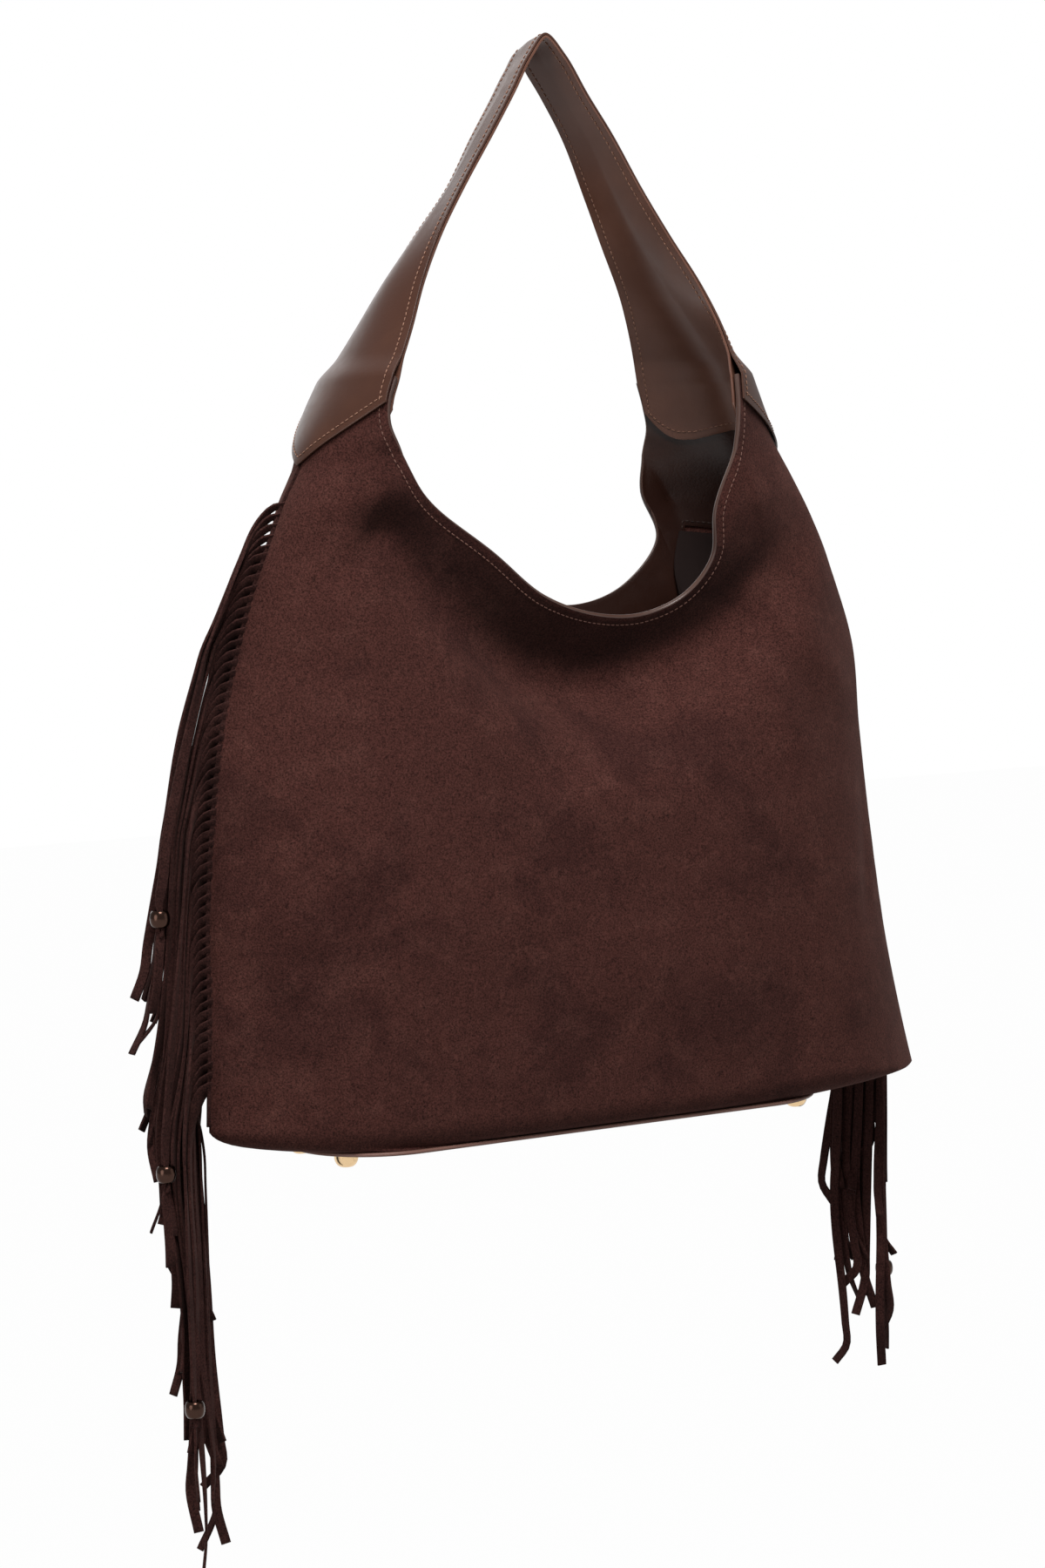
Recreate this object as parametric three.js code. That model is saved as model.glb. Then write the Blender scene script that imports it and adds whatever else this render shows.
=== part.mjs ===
// Fringed suede hobo bag, hanging by the crown of its shoulder strap.
// Millimetres, +Z up. The origin is the underside of the strap crown, +X runs along the bag
// and -Y is its front. Every cloth or leather piece is a thin closed sheet of its real thickness.
import * as THREE from 'three';

// Sheet goods and the gap that sewn layers keep between them
const SUEDE = 1.2;
const FACING = 1.0;
const LINING = 0.6;
const STRAP_PLY = 1.2;
const LAYER_GAP = 0.3;
const LAP_GAP = 1.1;
const LINING_GAP = 2;
const LINING_SLACK = 6;
const LINING_LAP = 4;
const LINING_INSET = 6;

// Hung body: the fold line at its foot, the seam, and the mouth's facing
const FOLD_LEVEL = -538;
const UNDER_LEVEL = -547.5;
const SEAM_HALF_GAP = 2.0;
const FACING_DROP = 45;
const EDGE_BAND = 20;
const HORN_TOP = -170;
const YOKE_SEAM = -221;
const YOKE_EDGE = -209;
const CORNER_POWER = 4.5;
const SEAM_TUCK = 2.5;
const SHOULDER = { left: 0.78, right: 0.65 };

// Level sections of the hung body: seam distance on each side, half depth, roundness of the ends
const BODY_SECTIONS = [
  { z: -170, left: 120, right: 120, depth: 41, round: 1 },
  { z: -200, left: 137, right: 134, depth: 46, round: 1 },
  { z: -214, left: 142, right: 143, depth: 46, round: 1 },
  { z: -229, left: 150.5, right: 153, depth: 46, round: 0.9 },
  { z: -246, left: 158, right: 164, depth: 46, round: 0.5 },
  { z: -273, left: 169.5, right: 176.5, depth: 46, round: 0.15 },
  { z: -314, left: 182.5, right: 189.5, depth: 47, round: 0 },
  { z: -358, left: 192.5, right: 192.5, depth: 51, round: 0 },
  { z: -427, left: 200.5, right: 199.5, depth: 57, round: 0 },
  { z: -479, left: 202, right: 207, depth: 58, round: 0 },
  { z: -538, left: 205, right: 222, depth: 57, round: 0 },
];

// Mouth edges as x and z, from the left horn to the right horn
const MOUTH = {
  front: [[-108, -209], [-95, -229], [-56, -258], [-24, -281], [9, -292], [40, -293], [64, -283],
    [76, -265], [75, -240], [88, -209]],
  back: [[-107, -209], [-90, -226], [-50, -252], [-20, -272], [10, -284.5], [40, -288], [70, -278],
    [93, -253], [86, -228], [88, -209]],
};

// Free edges of the horns above the mouth, as x at three levels up to the horn top
const HORN_EDGE_LEVELS = [-209, -195, -183, -170];
const HORN_EDGES = {
  front: { left: [-108, -114, -113.5, -108], right: [88, 91, 93, 94] },
  back: { left: [-107, -112, -111, -106], right: [88, 91, 88, 83] },
};

// The hollow that runs under the mouth, and single folds as lines on the panel
const HOLLOW = { x: 15, z: -343, rise: 0.0029, reach: 110, above: 80, below: 30, front: 24, back: 14 };
const FOLDS = {
  front: [
    { from: [-122, -214], to: [-160, -262], lift: 3.5, width: 9 },
    { from: [-96, -250], to: [-150, -292], lift: -3, width: 11 },
    { from: [112, -285], to: [168, -338], lift: 3.5, width: 14 },
    { from: [190, -380], to: [177, -452], lift: -4, width: 8 },
    { from: [-150, -420], to: [-172, -500], lift: -3, width: 14 },
  ],
  back: [
    { from: [-70, -330], to: [-150, -420], lift: 3, width: 16 },
    { from: [80, -320], to: [150, -440], lift: 3, width: 18 },
  ],
};
const FOLD_FADE = { past: 0.25, over: 0.45 };

// Leather base, its stiff board and its feet
const BASE = { centre: -8, length: 300, depth: 100, endFlat: 5, under: -552, thick: 1.6 };
const SUEDE_INSET = 2;
const BOARD = { inset: 6, thick: 2.5 };
const FOOT = {
  fromEnd: 15, fromSide: 25, radius: 6.1, height: 6.5, flat: 2.2, stem: 1.5, rim: 1, head: 2.6, headThick: 0.4,
};
const WASHER = { radius: 5, thick: 0.8 };

// Panel mesh: columns along the bag, horn columns at each end, rows up the body and up a horn
const COLUMNS = 26;
const HORN_COLUMNS = 4;
const BODY_ROWS = 11;
const TURNED_ROWS = 2;
const FACED_ROWS = 2;
const HORN_ROWS = 3;
const LINING_STEP = 2;
const LINING_ROWS = [0, 0.16, 0.36, 0.58, 0.8, 1];
const FOOT_TURNS = [25, 50, 75];
const FOOT_SIDES = 14;
const RING_SIDES = 12;
const HOLE_ARCS = 10;

// Strap: where its plies end on the horns, and where they close up above them
const OUTER_END = { spine: -212, edge: -183 };
const INNER_END = { spine: -203, rise: 10 };
const PLY_OPEN = -162;
const PLY_SHUT = -122;
const STRAP_ACROSS = 4;
const STRAP_STEPS = 26;
const LAP_ROWS = [0, 0.34, 0.67];
const HORN_CURL = 2;

// Strap stations from the left horn over the crown to the right horn.
// front and back are the strap's edges, spine its middle line, curl the power of its cross curve.
const STRAP = [
  { front: [-93.5, -32, -145], spine: [-104, 0, -145], back: [-90, 32, -145], curl: 1.9 },
  { front: [-82, -25, -121], spine: [-88.5, 0, -121], back: [-76, 25, -121], curl: 1.7 },
  { front: [-69, -20, -97], spine: [-70, 0, -97], back: [-62, 19, -97], curl: 1.4 },
  { front: [-53.5, -17, -73], spine: [-51.5, 0, -73], back: [-44.5, 16, -73], curl: 1.1 },
  { front: [-35, -15.5, -46], spine: [-34, 0, -46], back: [-30, 15, -47], curl: 1 },
  { front: [-21.5, -15, -25], spine: [-20.5, 0, -26], back: [-18, 15, -28], curl: 1 },
  { front: [-10.5, -15, -6.5], spine: [-9.5, 0, -9], back: [-8.5, 15, -12.5], curl: 1 },
  { front: [0, -15, 4.5], spine: [0, 0, 2.7], back: [0, 15, -1.5], curl: 1 },
  { front: [11.5, -15, -6], spine: [10, 0, -9], back: [8.5, 15, -13], curl: 1 },
  { front: [24.5, -15, -26], spine: [21, 0, -26], back: [16.5, 15, -25], curl: 1 },
  { front: [38.5, -15, -46], spine: [34, 0, -46], back: [27.5, 15, -45], curl: 1 },
  { front: [54.5, -16, -73], spine: [48.5, 0, -73], back: [39, 16, -73], curl: 1.1 },
  { front: [69.5, -19, -98], spine: [64, 0, -98], back: [50, 19, -98], curl: 1.4 },
  { front: [83.5, -25, -123], spine: [82, 0, -123], back: [63.5, 25, -123], curl: 1.7 },
  { front: [91, -33, -146], spine: [101, 0, -146], back: [73.5, 32, -146], curl: 1.9 },
];

// Fringe: one strip per side seam, sewn in along its header and cut into hanging strands
const STRIP_THICK = 1.3;
const SLIT = 0.3;
const HEADER = { top: -214.5, low: -535, inside: 5, outside: 1.2 };
const FRINGE = { top: -231, low: -516, count: 56, width: 5, uneven: 22 };
const HANG_LEVELS = [-229, -300, -390, -480, -538];
const FREE_LEVEL = -600;
const LANES = [[4.8, 0], [-7.6, 5], [-1.4, 1], [-13.8, 8], [-20, 10]];
const LAYER_GROWTH = 0.07;
const RIB = { out: 3.5, beyond: 0.8, rise: 0.6, drop: 3, tilt: 0.75, turn: 0.66 };
const CLEAR = { root: 22, tip: 30, bead: 12 };
const SCATTER = { step: 12.9898, start: 4.1, spread: 43758.5453 };
const FRINGE_SIDES = {
  left: {
    sign: -1, lean: 20, reach: [13, 9], shift: [1, -2], drawn: 1, drop: 236,
    beaded: [1, 26, 47], lane: 15, apart: [0, 0],
  },
  right: {
    sign: 1, lean: 60, reach: [16, 18], shift: [-6, -20], drawn: 0, drop: 202,
    beaded: [5, 28, 53], lane: 6, apart: [18, 10],
  },
};

// Beads: each rides on one strand, above its knot, in a lane in front of the others
const BEAD = { radius: 5, height: 8, bore: 2.1, lip: 0.6, above: 46, rings: 5, turn: 1.05, crown: 0.7 };
const KNOT = { width: 5.2, thick: 4, height: 3.2, neck: 1 };
const THREADED = { width: 3, from: 7, to: 1.5 };

const SUEDE_LOOK = { color: '#4a2f2b', roughness: 0.95, metalness: 0 };
const STRAP_LOOK = { color: '#4b3025', roughness: 0.45, metalness: 0 };
const FACING_LOOK = { color: '#38231c', roughness: 0.5, metalness: 0 };
const LINING_LOOK = { color: '#231816', roughness: 0.9, metalness: 0 };
const FRINGE_LOOK = { color: '#382320', roughness: 0.95, metalness: 0 };
const BOARD_LOOK = { color: '#6d6257', roughness: 0.9, metalness: 0 };
const METAL_LOOK = { color: '#dcc08f', roughness: 0.3, metalness: 1 };
const BEAD_LOOK = { color: '#4a2c1a', roughness: 0.25, metalness: 0.6 };

const group = new THREE.Group();

function addNode(name, geometry, look) {
  const mesh = new THREE.Mesh(geometry, new THREE.MeshStandardMaterial(look));
  mesh.name = name;
  group.add(mesh);
}

const mix = (a, b, t) => a + (b - a) * t;
const clamp01 = (t) => Math.min(1, Math.max(0, t));
const smooth = (t) => clamp01(t) ** 2 * (3 - 2 * clamp01(t));

// A smooth curve through values given at falling levels, read at one level
function atLevel(levels, values, z) {
  const last = levels.length - 1;
  const level = Math.min(levels[0], Math.max(levels[last], z));
  let i = 0;
  while (i < last - 1 && level < levels[i + 1]) i += 1;
  const slope = (k) => {
    const a = Math.max(0, k - 1);
    const b = Math.min(last, k + 1);
    return (values[b] - values[a]) / (levels[b] - levels[a]);
  };
  const span = levels[i + 1] - levels[i];
  const t = (level - levels[i]) / span;
  const h = 3 * t * t - 2 * t * t * t;
  const rise = span * (t * (1 - t) * (1 - t) * slope(i) - t * t * (1 - t) * slope(i + 1));
  return mix(values[i], values[i + 1], h) + rise;
}

const SECTION_LEVELS = BODY_SECTIONS.map((row) => row.z);
const section = (key, z) => atLevel(SECTION_LEVELS, BODY_SECTIONS.map((row) => row[key]), z);
const seamX = (end, z) => (end === 'left' ? -section('left', z) : section('right', z));

// How far one straight fold lifts the panel at a point
function foldLift(fold, x, z) {
  const [ax, az] = fold.from;
  const dx = fold.to[0] - ax;
  const dz = fold.to[1] - az;
  const along = ((x - ax) * dx + (z - az) * dz) / (dx * dx + dz * dz);
  const off = Math.abs((x - ax) * dz - (z - az) * dx) / Math.hypot(dx, dz);
  const taper = smooth((along + FOLD_FADE.past) / FOLD_FADE.over)
    * smooth((1 + FOLD_FADE.past - along) / FOLD_FADE.over);
  return fold.lift * taper * Math.exp(-((off / fold.width) ** 2));
}

// The soft relief of a panel: the hollow below the mouth and the single folds
function relief(face, x, z) {
  const floor = HOLLOW.z + HOLLOW.rise * (x - HOLLOW.x) ** 2;
  const spread = z > floor ? HOLLOW.above : HOLLOW.below;
  const depth = HOLLOW[face] * Math.exp(-(((x - HOLLOW.x) / HOLLOW.reach) ** 2));
  const hollow = depth * Math.exp(-(((z - floor) / spread) ** 2));
  return FOLDS[face].reduce((sum, fold) => sum + foldLift(fold, x, z), -hollow);
}

// A point of the body at s (-1 left seam to 1 right seam) and height z, drawn in by inset
function bodyPoint(face, s, z, inset = 0) {
  const left = seamX('left', z) + inset * SEAM_TUCK;
  const right = seamX('right', z) - inset * SEAM_TUCK;
  const x = (left + right) / 2 + (s * (right - left)) / 2;
  const reach = Math.min(1, Math.abs(s));
  const shoulder = s < 0 ? SHOULDER.left : SHOULDER.right;
  const round = section('round', z);
  const rounded = Math.sqrt(Math.min(1, (1 - reach) / (1 - shoulder)));
  const pillow = 1 - reach ** CORNER_POWER;
  const shape = round * rounded + (1 - round) * pillow;
  const gap = inset > 0 ? 0 : SEAM_HALF_GAP;
  const soft = shape * relief(face, x, z);
  const y = gap + (section('depth', z) - gap - inset) * shape + soft;
  return new THREE.Vector3(x, face === 'front' ? -y : y, z);
}

// The free edge of a horn at height z, and a point between seam (q 0) and that edge (q 1)
function hornPoint(face, end, q, z) {
  const edge = atLevel([...HORN_EDGE_LEVELS].reverse(), [...HORN_EDGES[face][end]].reverse(), z);
  const seam = seamX(end, z);
  const y = mix(SEAM_HALF_GAP, section('depth', z), q);
  return new THREE.Vector3(mix(seam, edge, q * q), face === 'front' ? -y : y, z);
}

// Half of the base outline, from the middle of the left end to the middle of the right end
function baseOutline(face, fraction, inset) {
  const r = BASE.depth / 2 - BASE.endFlat - inset;
  const halfLength = BASE.length / 2 - inset;
  const halfDepth = BASE.depth / 2 - inset;
  const side = halfDepth - r;
  const arc = (Math.PI / 2) * r;
  const straight = 2 * (halfLength - r);
  const sign = fraction <= 0.5 ? -1 : 1;
  const total = 2 * (side + arc) + straight;
  const run = (fraction <= 0.5 ? fraction : 1 - fraction) * total;
  let x = -halfLength;
  let y = run;
  if (run > side + arc) {
    x = -halfLength + r + (run - side - arc);
    y = halfDepth;
  } else if (run > side) {
    const angle = (run - side) / r;
    x = -halfLength + r - r * Math.cos(angle);
    y = side + r * Math.sin(angle);
  }
  return new THREE.Vector3(BASE.centre - sign * x, face === 'front' ? -y : y, 0);
}

// A surface of shared points and four-cornered cells, thickened into a closed sheet
class Surface {
  constructor() {
    this.points = [];
    this.cells = [];
  }

  add(point) {
    this.points.push(point);
    return this.points.length - 1;
  }

  cell(a, b, c, d) {
    this.cells.push([a, b, c, d]);
  }

  normals() {
    const sums = this.points.map(() => new THREE.Vector3());
    for (const [a, b, c, d] of this.cells) {
      const p = [a, b, c, d].map((k) => this.points[k]);
      const one = new THREE.Vector3().subVectors(p[2], p[0]);
      const two = new THREE.Vector3().subVectors(p[3], p[1]);
      const normal = one.cross(two);
      for (const k of new Set([a, b, c, d])) sums[k].add(normal);
    }
    return sums.map((sum) => sum.normalize());
  }

  solid(outer, inner, cells = this.cells) {
    const lift = (offset, k) => (typeof offset === 'function' ? offset(k) : offset);
    const normals = this.normals();
    const used = [...new Set(cells.flat())];
    const place = new Map(used.map((k, i) => [k, i]));
    const sides = [outer, inner].map((offset) => used.map((k) => (
      this.points[k].clone().addScaledVector(normals[k], lift(offset, k)))));
    const count = used.length;
    const faces = [];
    const edges = new Map();
    const triangle = (a, b, c) => {
      if (a !== b && b !== c && c !== a) faces.push([a, b, c]);
    };
    for (const cell of cells) {
      const [a, b, c, d] = cell.map((k) => place.get(k));
      triangle(a, b, c);
      triangle(a, c, d);
      triangle(count + c, count + b, count + a);
      triangle(count + d, count + c, count + a);
      for (const [p, q] of [[a, b], [b, c], [c, d], [d, a]]) {
        if (p === q) continue;
        if (edges.has(`${q} ${p}`)) edges.delete(`${q} ${p}`);
        else edges.set(`${p} ${q}`, [p, q]);
      }
    }
    for (const [p, q] of edges.values()) {
      triangle(q, p, count + p);
      triangle(q, count + p, count + q);
    }
    return geometryOf([...sides[0], ...sides[1]], faces);
  }
}

function geometryOf(points, faces) {
  const geometry = new THREE.BufferGeometry();
  geometry.setAttribute('position', new THREE.Float32BufferAttribute(points.flatMap((p) => p.toArray()), 3));
  geometry.setIndex(faces.flat());
  geometry.computeVertexNormals();
  return geometry;
}

// Column k of a panel as s and z: where it stands on the fold line and where it ends at the top
function columnEnds(face, k, mouth) {
  const v = (2 * k) / COLUMNS - 1;
  const low = 1.5 * v - 0.5 * v ** 3;
  const fromEnd = Math.min(k, COLUMNS - k);
  const end = v < 0 ? 'left' : 'right';
  let x;
  let z;
  if (fromEnd < HORN_COLUMNS) {
    const q = fromEnd / HORN_COLUMNS;
    z = mix(YOKE_SEAM, YOKE_EDGE, q);
    x = hornPoint(face, end, q, z).x;
  } else {
    const t = (k - HORN_COLUMNS) / (COLUMNS - 2 * HORN_COLUMNS);
    const point = mouth.getPointAt(t);
    x = point.x;
    z = point.z;
  }
  const left = seamX('left', z);
  const right = seamX('right', z);
  return { low, top: (2 * (x - left)) / (right - left) - 1, z };
}

function mouthCurve(face) {
  return new THREE.CatmullRomCurve3(MOUTH[face].map(([x, z]) => new THREE.Vector3(x, 0, z)));
}

// Heights of the panel rows above the fold line, for a column that ends at top
function rowHeights(top) {
  const free = BODY_ROWS - TURNED_ROWS - FACED_ROWS;
  const facingLow = top - FACING_DROP;
  const rows = [];
  for (let j = 0; j <= free; j += 1) rows.push(mix(FOLD_LEVEL, facingLow, j / free));
  return [...rows, top - EDGE_BAND, top];
}

// The outer surface of a front or back panel, with its facing cells marked
function panelSurface(face) {
  const surface = new Surface();
  const mouth = mouthCurve(face);
  const suedeFoot = BASE.under + BASE.thick + LAYER_GAP;
  const grid = [];
  for (let k = 0; k <= COLUMNS; k += 1) {
    const ends = columnEnds(face, k, mouth);
    const fold = bodyPoint(face, ends.low, FOLD_LEVEL);
    const foot = baseOutline(face, k / COLUMNS, SUEDE_INSET);
    const seamSide = face === 'front' ? -SEAM_HALF_GAP : SEAM_HALF_GAP;
    if (k === 0 || k === COLUMNS) foot.y = seamSide;
    foot.z = suedeFoot;
    const under = foot.clone().lerp(fold, 0.5);
    under.z = UNDER_LEVEL;
    const column = [surface.add(foot), surface.add(under)];
    const heights = rowHeights(ends.z);
    heights.forEach((z, j) => {
      const s = mix(ends.low, ends.top, (z - FOLD_LEVEL) / (ends.z - FOLD_LEVEL));
      const fromEnd = Math.min(k, COLUMNS - k);
      const onYoke = j === heights.length - 1 && fromEnd <= HORN_COLUMNS;
      const end = k < COLUMNS / 2 ? 'left' : 'right';
      const point = onYoke
        ? hornPoint(face, end, fromEnd / HORN_COLUMNS, z)
        : bodyPoint(face, Math.max(-1, Math.min(1, s)), z);
      column.push(surface.add(point));
    });
    grid.push(column);
  }
  const facingCells = [];
  const flip = face === 'back';
  const cell = (a, b, c, d, faced) => {
    const corners = flip ? [d, c, b, a] : [a, b, c, d];
    surface.cells.push(corners);
    if (faced) facingCells.push(corners);
  };
  for (let k = 0; k < COLUMNS; k += 1) {
    for (let j = 0; j < BODY_ROWS; j += 1) {
      cell(grid[k][j], grid[k + 1][j], grid[k + 1][j + 1], grid[k][j + 1], j >= BODY_ROWS - FACED_ROWS);
    }
  }
  for (const end of ['left', 'right']) {
    const start = end === 'left' ? 0 : COLUMNS - HORN_COLUMNS;
    for (let k = start; k <= start + HORN_COLUMNS; k += 1) {
      const q = Math.min(k, COLUMNS - k) / HORN_COLUMNS;
      const yoke = mix(YOKE_SEAM, YOKE_EDGE, q);
      for (let m = 1; m <= HORN_ROWS; m += 1) {
        const z = mix(yoke, HORN_TOP, m / HORN_ROWS);
        grid[k][BODY_ROWS + m] = surface.add(hornPoint(face, end, q, z));
      }
    }
    for (let k = start; k < start + HORN_COLUMNS; k += 1) {
      for (let j = BODY_ROWS; j < BODY_ROWS + HORN_ROWS; j += 1) {
        cell(grid[k][j], grid[k + 1][j], grid[k + 1][j + 1], grid[k][j + 1], true);
      }
    }
  }
  return { surface, facingCells };
}

// Suede panels and the leather facings inside the mouth
function buildPanels() {
  const facingOuter = -(SUEDE + LAYER_GAP);
  for (const face of ['front', 'back']) {
    const { surface, facingCells } = panelSurface(face);
    addNode(`${face}_panel`, surface.solid(0, -SUEDE), SUEDE_LOOK);
    addNode(`${face}_facing`, surface.solid(facingOuter, facingOuter - FACING, facingCells), FACING_LOOK);
  }
}

// Height of the lining's floor: it lies on the heads of the foot rivets
const BOARD_UNDER = BASE.under + BASE.thick + LAYER_GAP;
const WASHER_UNDER = BOARD_UNDER + BOARD.thick + LAYER_GAP;
const HEAD_UNDER = WASHER_UNDER + WASHER.thick + LAYER_GAP;
const LINING_FLOOR = HEAD_UNDER + FOOT.headThick + LAYER_GAP + LINING;

// Lining: one closed cup sewn to the lower edge of the facings
function buildLining() {
  const inset = SUEDE + LAYER_GAP + FACING + LINING_GAP;
  const surface = new Surface();
  const rows = { front: [], back: [] };
  const levels = LINING_ROWS;
  for (const face of ['front', 'back']) {
    const mouth = mouthCurve(face);
    for (let k = 0; k <= COLUMNS; k += LINING_STEP) {
      const atSeam = k === 0 || k === COLUMNS;
      if (atSeam && face === 'back') {
        rows.back.push(rows.front[k / LINING_STEP]);
        continue;
      }
      const ends = columnEnds(face, k, mouth);
      const rim = ends.z - FACING_DROP + LINING_LAP;
      const low = FOLD_LEVEL + inset;
      const column = levels.map((f) => {
        const z = mix(rim, low, f);
        const s = mix(ends.low, ends.top, (z - FOLD_LEVEL) / (ends.z - FOLD_LEVEL));
        const loose = inset + LINING_SLACK * smooth(f / levels[1]);
        return surface.add(bodyPoint(face, Math.max(-1, Math.min(1, s)), z, loose));
      });
      const floor = baseOutline(face, k / COLUMNS, BOARD.inset + LINING_INSET);
      floor.z = LINING_FLOOR;
      column.push(surface.add(floor));
      rows[face].push(column);
    }
  }
  const count = rows.front.length;
  for (let k = 0; k < count - 1; k += 1) {
    for (let j = 0; j < levels.length; j += 1) {
      const f = rows.front;
      const b = rows.back;
      surface.cell(f[k][j], f[k][j + 1], f[k + 1][j + 1], f[k + 1][j]);
      surface.cell(b[k][j], b[k + 1][j], b[k + 1][j + 1], b[k][j + 1]);
    }
    const j = levels.length;
    surface.cell(rows.front[k][j], rows.back[k][j], rows.back[k + 1][j], rows.front[k + 1][j]);
  }
  addNode('lining', surface.solid(0, -LINING), LINING_LOOK);
}

function footPlaces() {
  const x = BASE.length / 2 - FOOT.fromEnd;
  const y = BASE.depth / 2 - FOOT.fromSide;
  return [-1, 1].flatMap((sx) => [-1, 1].map((sy) => [BASE.centre + sx * x, sy * y]));
}

// A flat plate with the base outline and a hole for each foot stem
function basePlate(inset, under, thick) {
  const outline = [];
  for (let k = 0; k < COLUMNS; k += 1) outline.push(baseOutline('front', k / COLUMNS, inset));
  for (let k = COLUMNS; k > 0; k -= 1) outline.push(baseOutline('back', k / COLUMNS, inset));
  const shape = new THREE.Shape(outline.map((p) => new THREE.Vector2(p.x, p.y)));
  for (const [x, y] of footPlaces()) {
    const hole = new THREE.Path();
    hole.absarc(x, y, FOOT.stem + LAYER_GAP, 0, 2 * Math.PI, true);
    shape.holes.push(hole);
  }
  const plate = new THREE.ExtrudeGeometry(shape, { depth: thick, bevelEnabled: false, curveSegments: HOLE_ARCS });
  plate.translate(0, 0, under);
  return plate;
}

// Leather base, stiff board, and four domed feet riveted through both
function buildBase() {
  addNode('base_panel', basePlate(0, BASE.under, BASE.thick), STRAP_LOOK);
  addNode('base_board', basePlate(BOARD.inset, BOARD_UNDER, BOARD.thick), BOARD_LOOK);
  const names = ['front_left', 'back_left', 'front_right', 'back_right'];
  const seat = BASE.under - LAYER_GAP;
  const low = seat - FOOT.height;
  const headTop = HEAD_UNDER + FOOT.headThick;
  const profile = [[0, low], [FOOT.flat, low]];
  for (const angle of FOOT_TURNS) {
    const turn = (angle * Math.PI) / 180;
    const r = mix(FOOT.flat, FOOT.radius, Math.sin(turn));
    profile.push([r, low + (FOOT.height - FOOT.rim) * (1 - Math.cos(turn))]);
  }
  profile.push([FOOT.radius, seat], [FOOT.stem, seat], [FOOT.stem, HEAD_UNDER], [FOOT.head, HEAD_UNDER]);
  profile.push([FOOT.head, headTop], [0, headTop]);
  const bore = FOOT.stem + LAYER_GAP;
  const washerTop = WASHER_UNDER + WASHER.thick;
  const ring = [[bore, WASHER_UNDER], [WASHER.radius, WASHER_UNDER], [WASHER.radius, washerTop],
    [bore, washerTop], [bore, WASHER_UNDER]];
  footPlaces().forEach(([x, y], i) => {
    addNode(`foot_${names[i]}`, turned(profile, FOOT_SIDES, x, y), METAL_LOOK);
    addNode(`foot_washer_${names[i]}`, turned(ring, RING_SIDES, x, y), METAL_LOOK);
  });
}

// A turned part about a vertical axis, from a profile that runs upwards outside
function turned(profile, segments, x, y) {
  const lathe = new THREE.LatheGeometry(profile.map(([r, z]) => new THREE.Vector2(r, z)), segments);
  lathe.rotateX(Math.PI / 2);
  lathe.translate(x, y, 0);
  return lathe;
}

// A strap station on a horn, where the strap follows the horn's section
function hornStation(end, z) {
  return {
    front: hornPoint('front', end, 1, z),
    spine: new THREE.Vector3(seamX(end, z), 0, z),
    back: hornPoint('back', end, 1, z),
  };
}

function onHorn(end, q, z) {
  if (q === 0) return new THREE.Vector3(seamX(end, z), 0, z);
  return hornPoint(q < 0 ? 'front' : 'back', end, Math.abs(q), z);
}

// One ply of the strap; endLevel gives the height of its end across the horn
function strapPly(endLevel, openOffset, shutOffset) {
  const surface = new Surface();
  const keys = ['front', 'spine', 'back'];
  const curves = {};
  for (const key of keys) {
    const points = STRAP.map((row) => new THREE.Vector3(...row[key]));
    points.unshift(hornStation('left', HORN_TOP)[key]);
    points.push(hornStation('right', HORN_TOP)[key]);
    curves[key] = new THREE.CatmullRomCurve3(points, false, 'centripetal');
  }
  const reach = STRAP_ACROSS;
  const rows = [];
  const addRow = (make) => {
    const row = [];
    for (let k = -reach; k <= reach; k += 1) row.push(surface.add(make(k / reach)));
    rows.push(row);
  };
  for (const f of LAP_ROWS) addRow((q) => onHorn('left', q, mix(endLevel(q), HORN_TOP, f)));
  const stations = STRAP.length + 1;
  const curls = [HORN_CURL, ...STRAP.map((row) => row.curl), HORN_CURL];
  for (let i = 0; i <= STRAP_STEPS; i += 1) {
    const t = i / STRAP_STEPS;
    const at = Math.min(stations - 1, Math.floor(t * stations));
    const curl = mix(curls[at], curls[at + 1], t * stations - at);
    const spine = curves.spine.getPoint(t);
    addRow((q) => {
      const edge = (q < 0 ? curves.front : curves.back).getPoint(t);
      const across = Math.abs(q);
      const bend = across ** curl;
      const y = q === 0 ? 0 : mix(SEAM_HALF_GAP * (curl - 1), Math.abs(edge.y), across) * Math.sign(q);
      return new THREE.Vector3(mix(spine.x, edge.x, bend), y, mix(spine.z, edge.z, bend));
    });
  }
  for (const f of [...LAP_ROWS].reverse()) addRow((q) => onHorn('right', q, mix(endLevel(q), HORN_TOP, f)));
  for (let i = 0; i < rows.length - 1; i += 1) {
    for (let k = 0; k < 2 * reach; k += 1) {
      surface.cell(rows[i][k], rows[i + 1][k], rows[i + 1][k + 1], rows[i][k + 1]);
    }
  }
  const shutAt = (k) => smooth((surface.points[k].z - PLY_OPEN) / (PLY_SHUT - PLY_OPEN));
  const offset = (extra) => (k) => mix(openOffset, shutOffset, shutAt(k)) + extra;
  return surface.solid(offset(STRAP_PLY), offset(0));
}

// Two strap plies: the outer laps over the horns, the inner lies inside their facings
function buildStrap() {
  const outerEnd = (q) => mix(OUTER_END.spine, OUTER_END.edge, Math.abs(q));
  const innerEnd = (q) => INNER_END.spine + INNER_END.rise * Math.abs(q) ** 3;
  const innerOpen = -(SUEDE + LAYER_GAP + FACING + LAP_GAP + STRAP_PLY);
  const innerShut = -(2 * STRAP_PLY + LAYER_GAP);
  addNode('strap_outer', strapPly(outerEnd, LAP_GAP, -STRAP_PLY), STRAP_LOOK);
  addNode('strap_inner', strapPly(innerEnd, innerOpen, innerShut), STRAP_LOOK);
}

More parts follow.
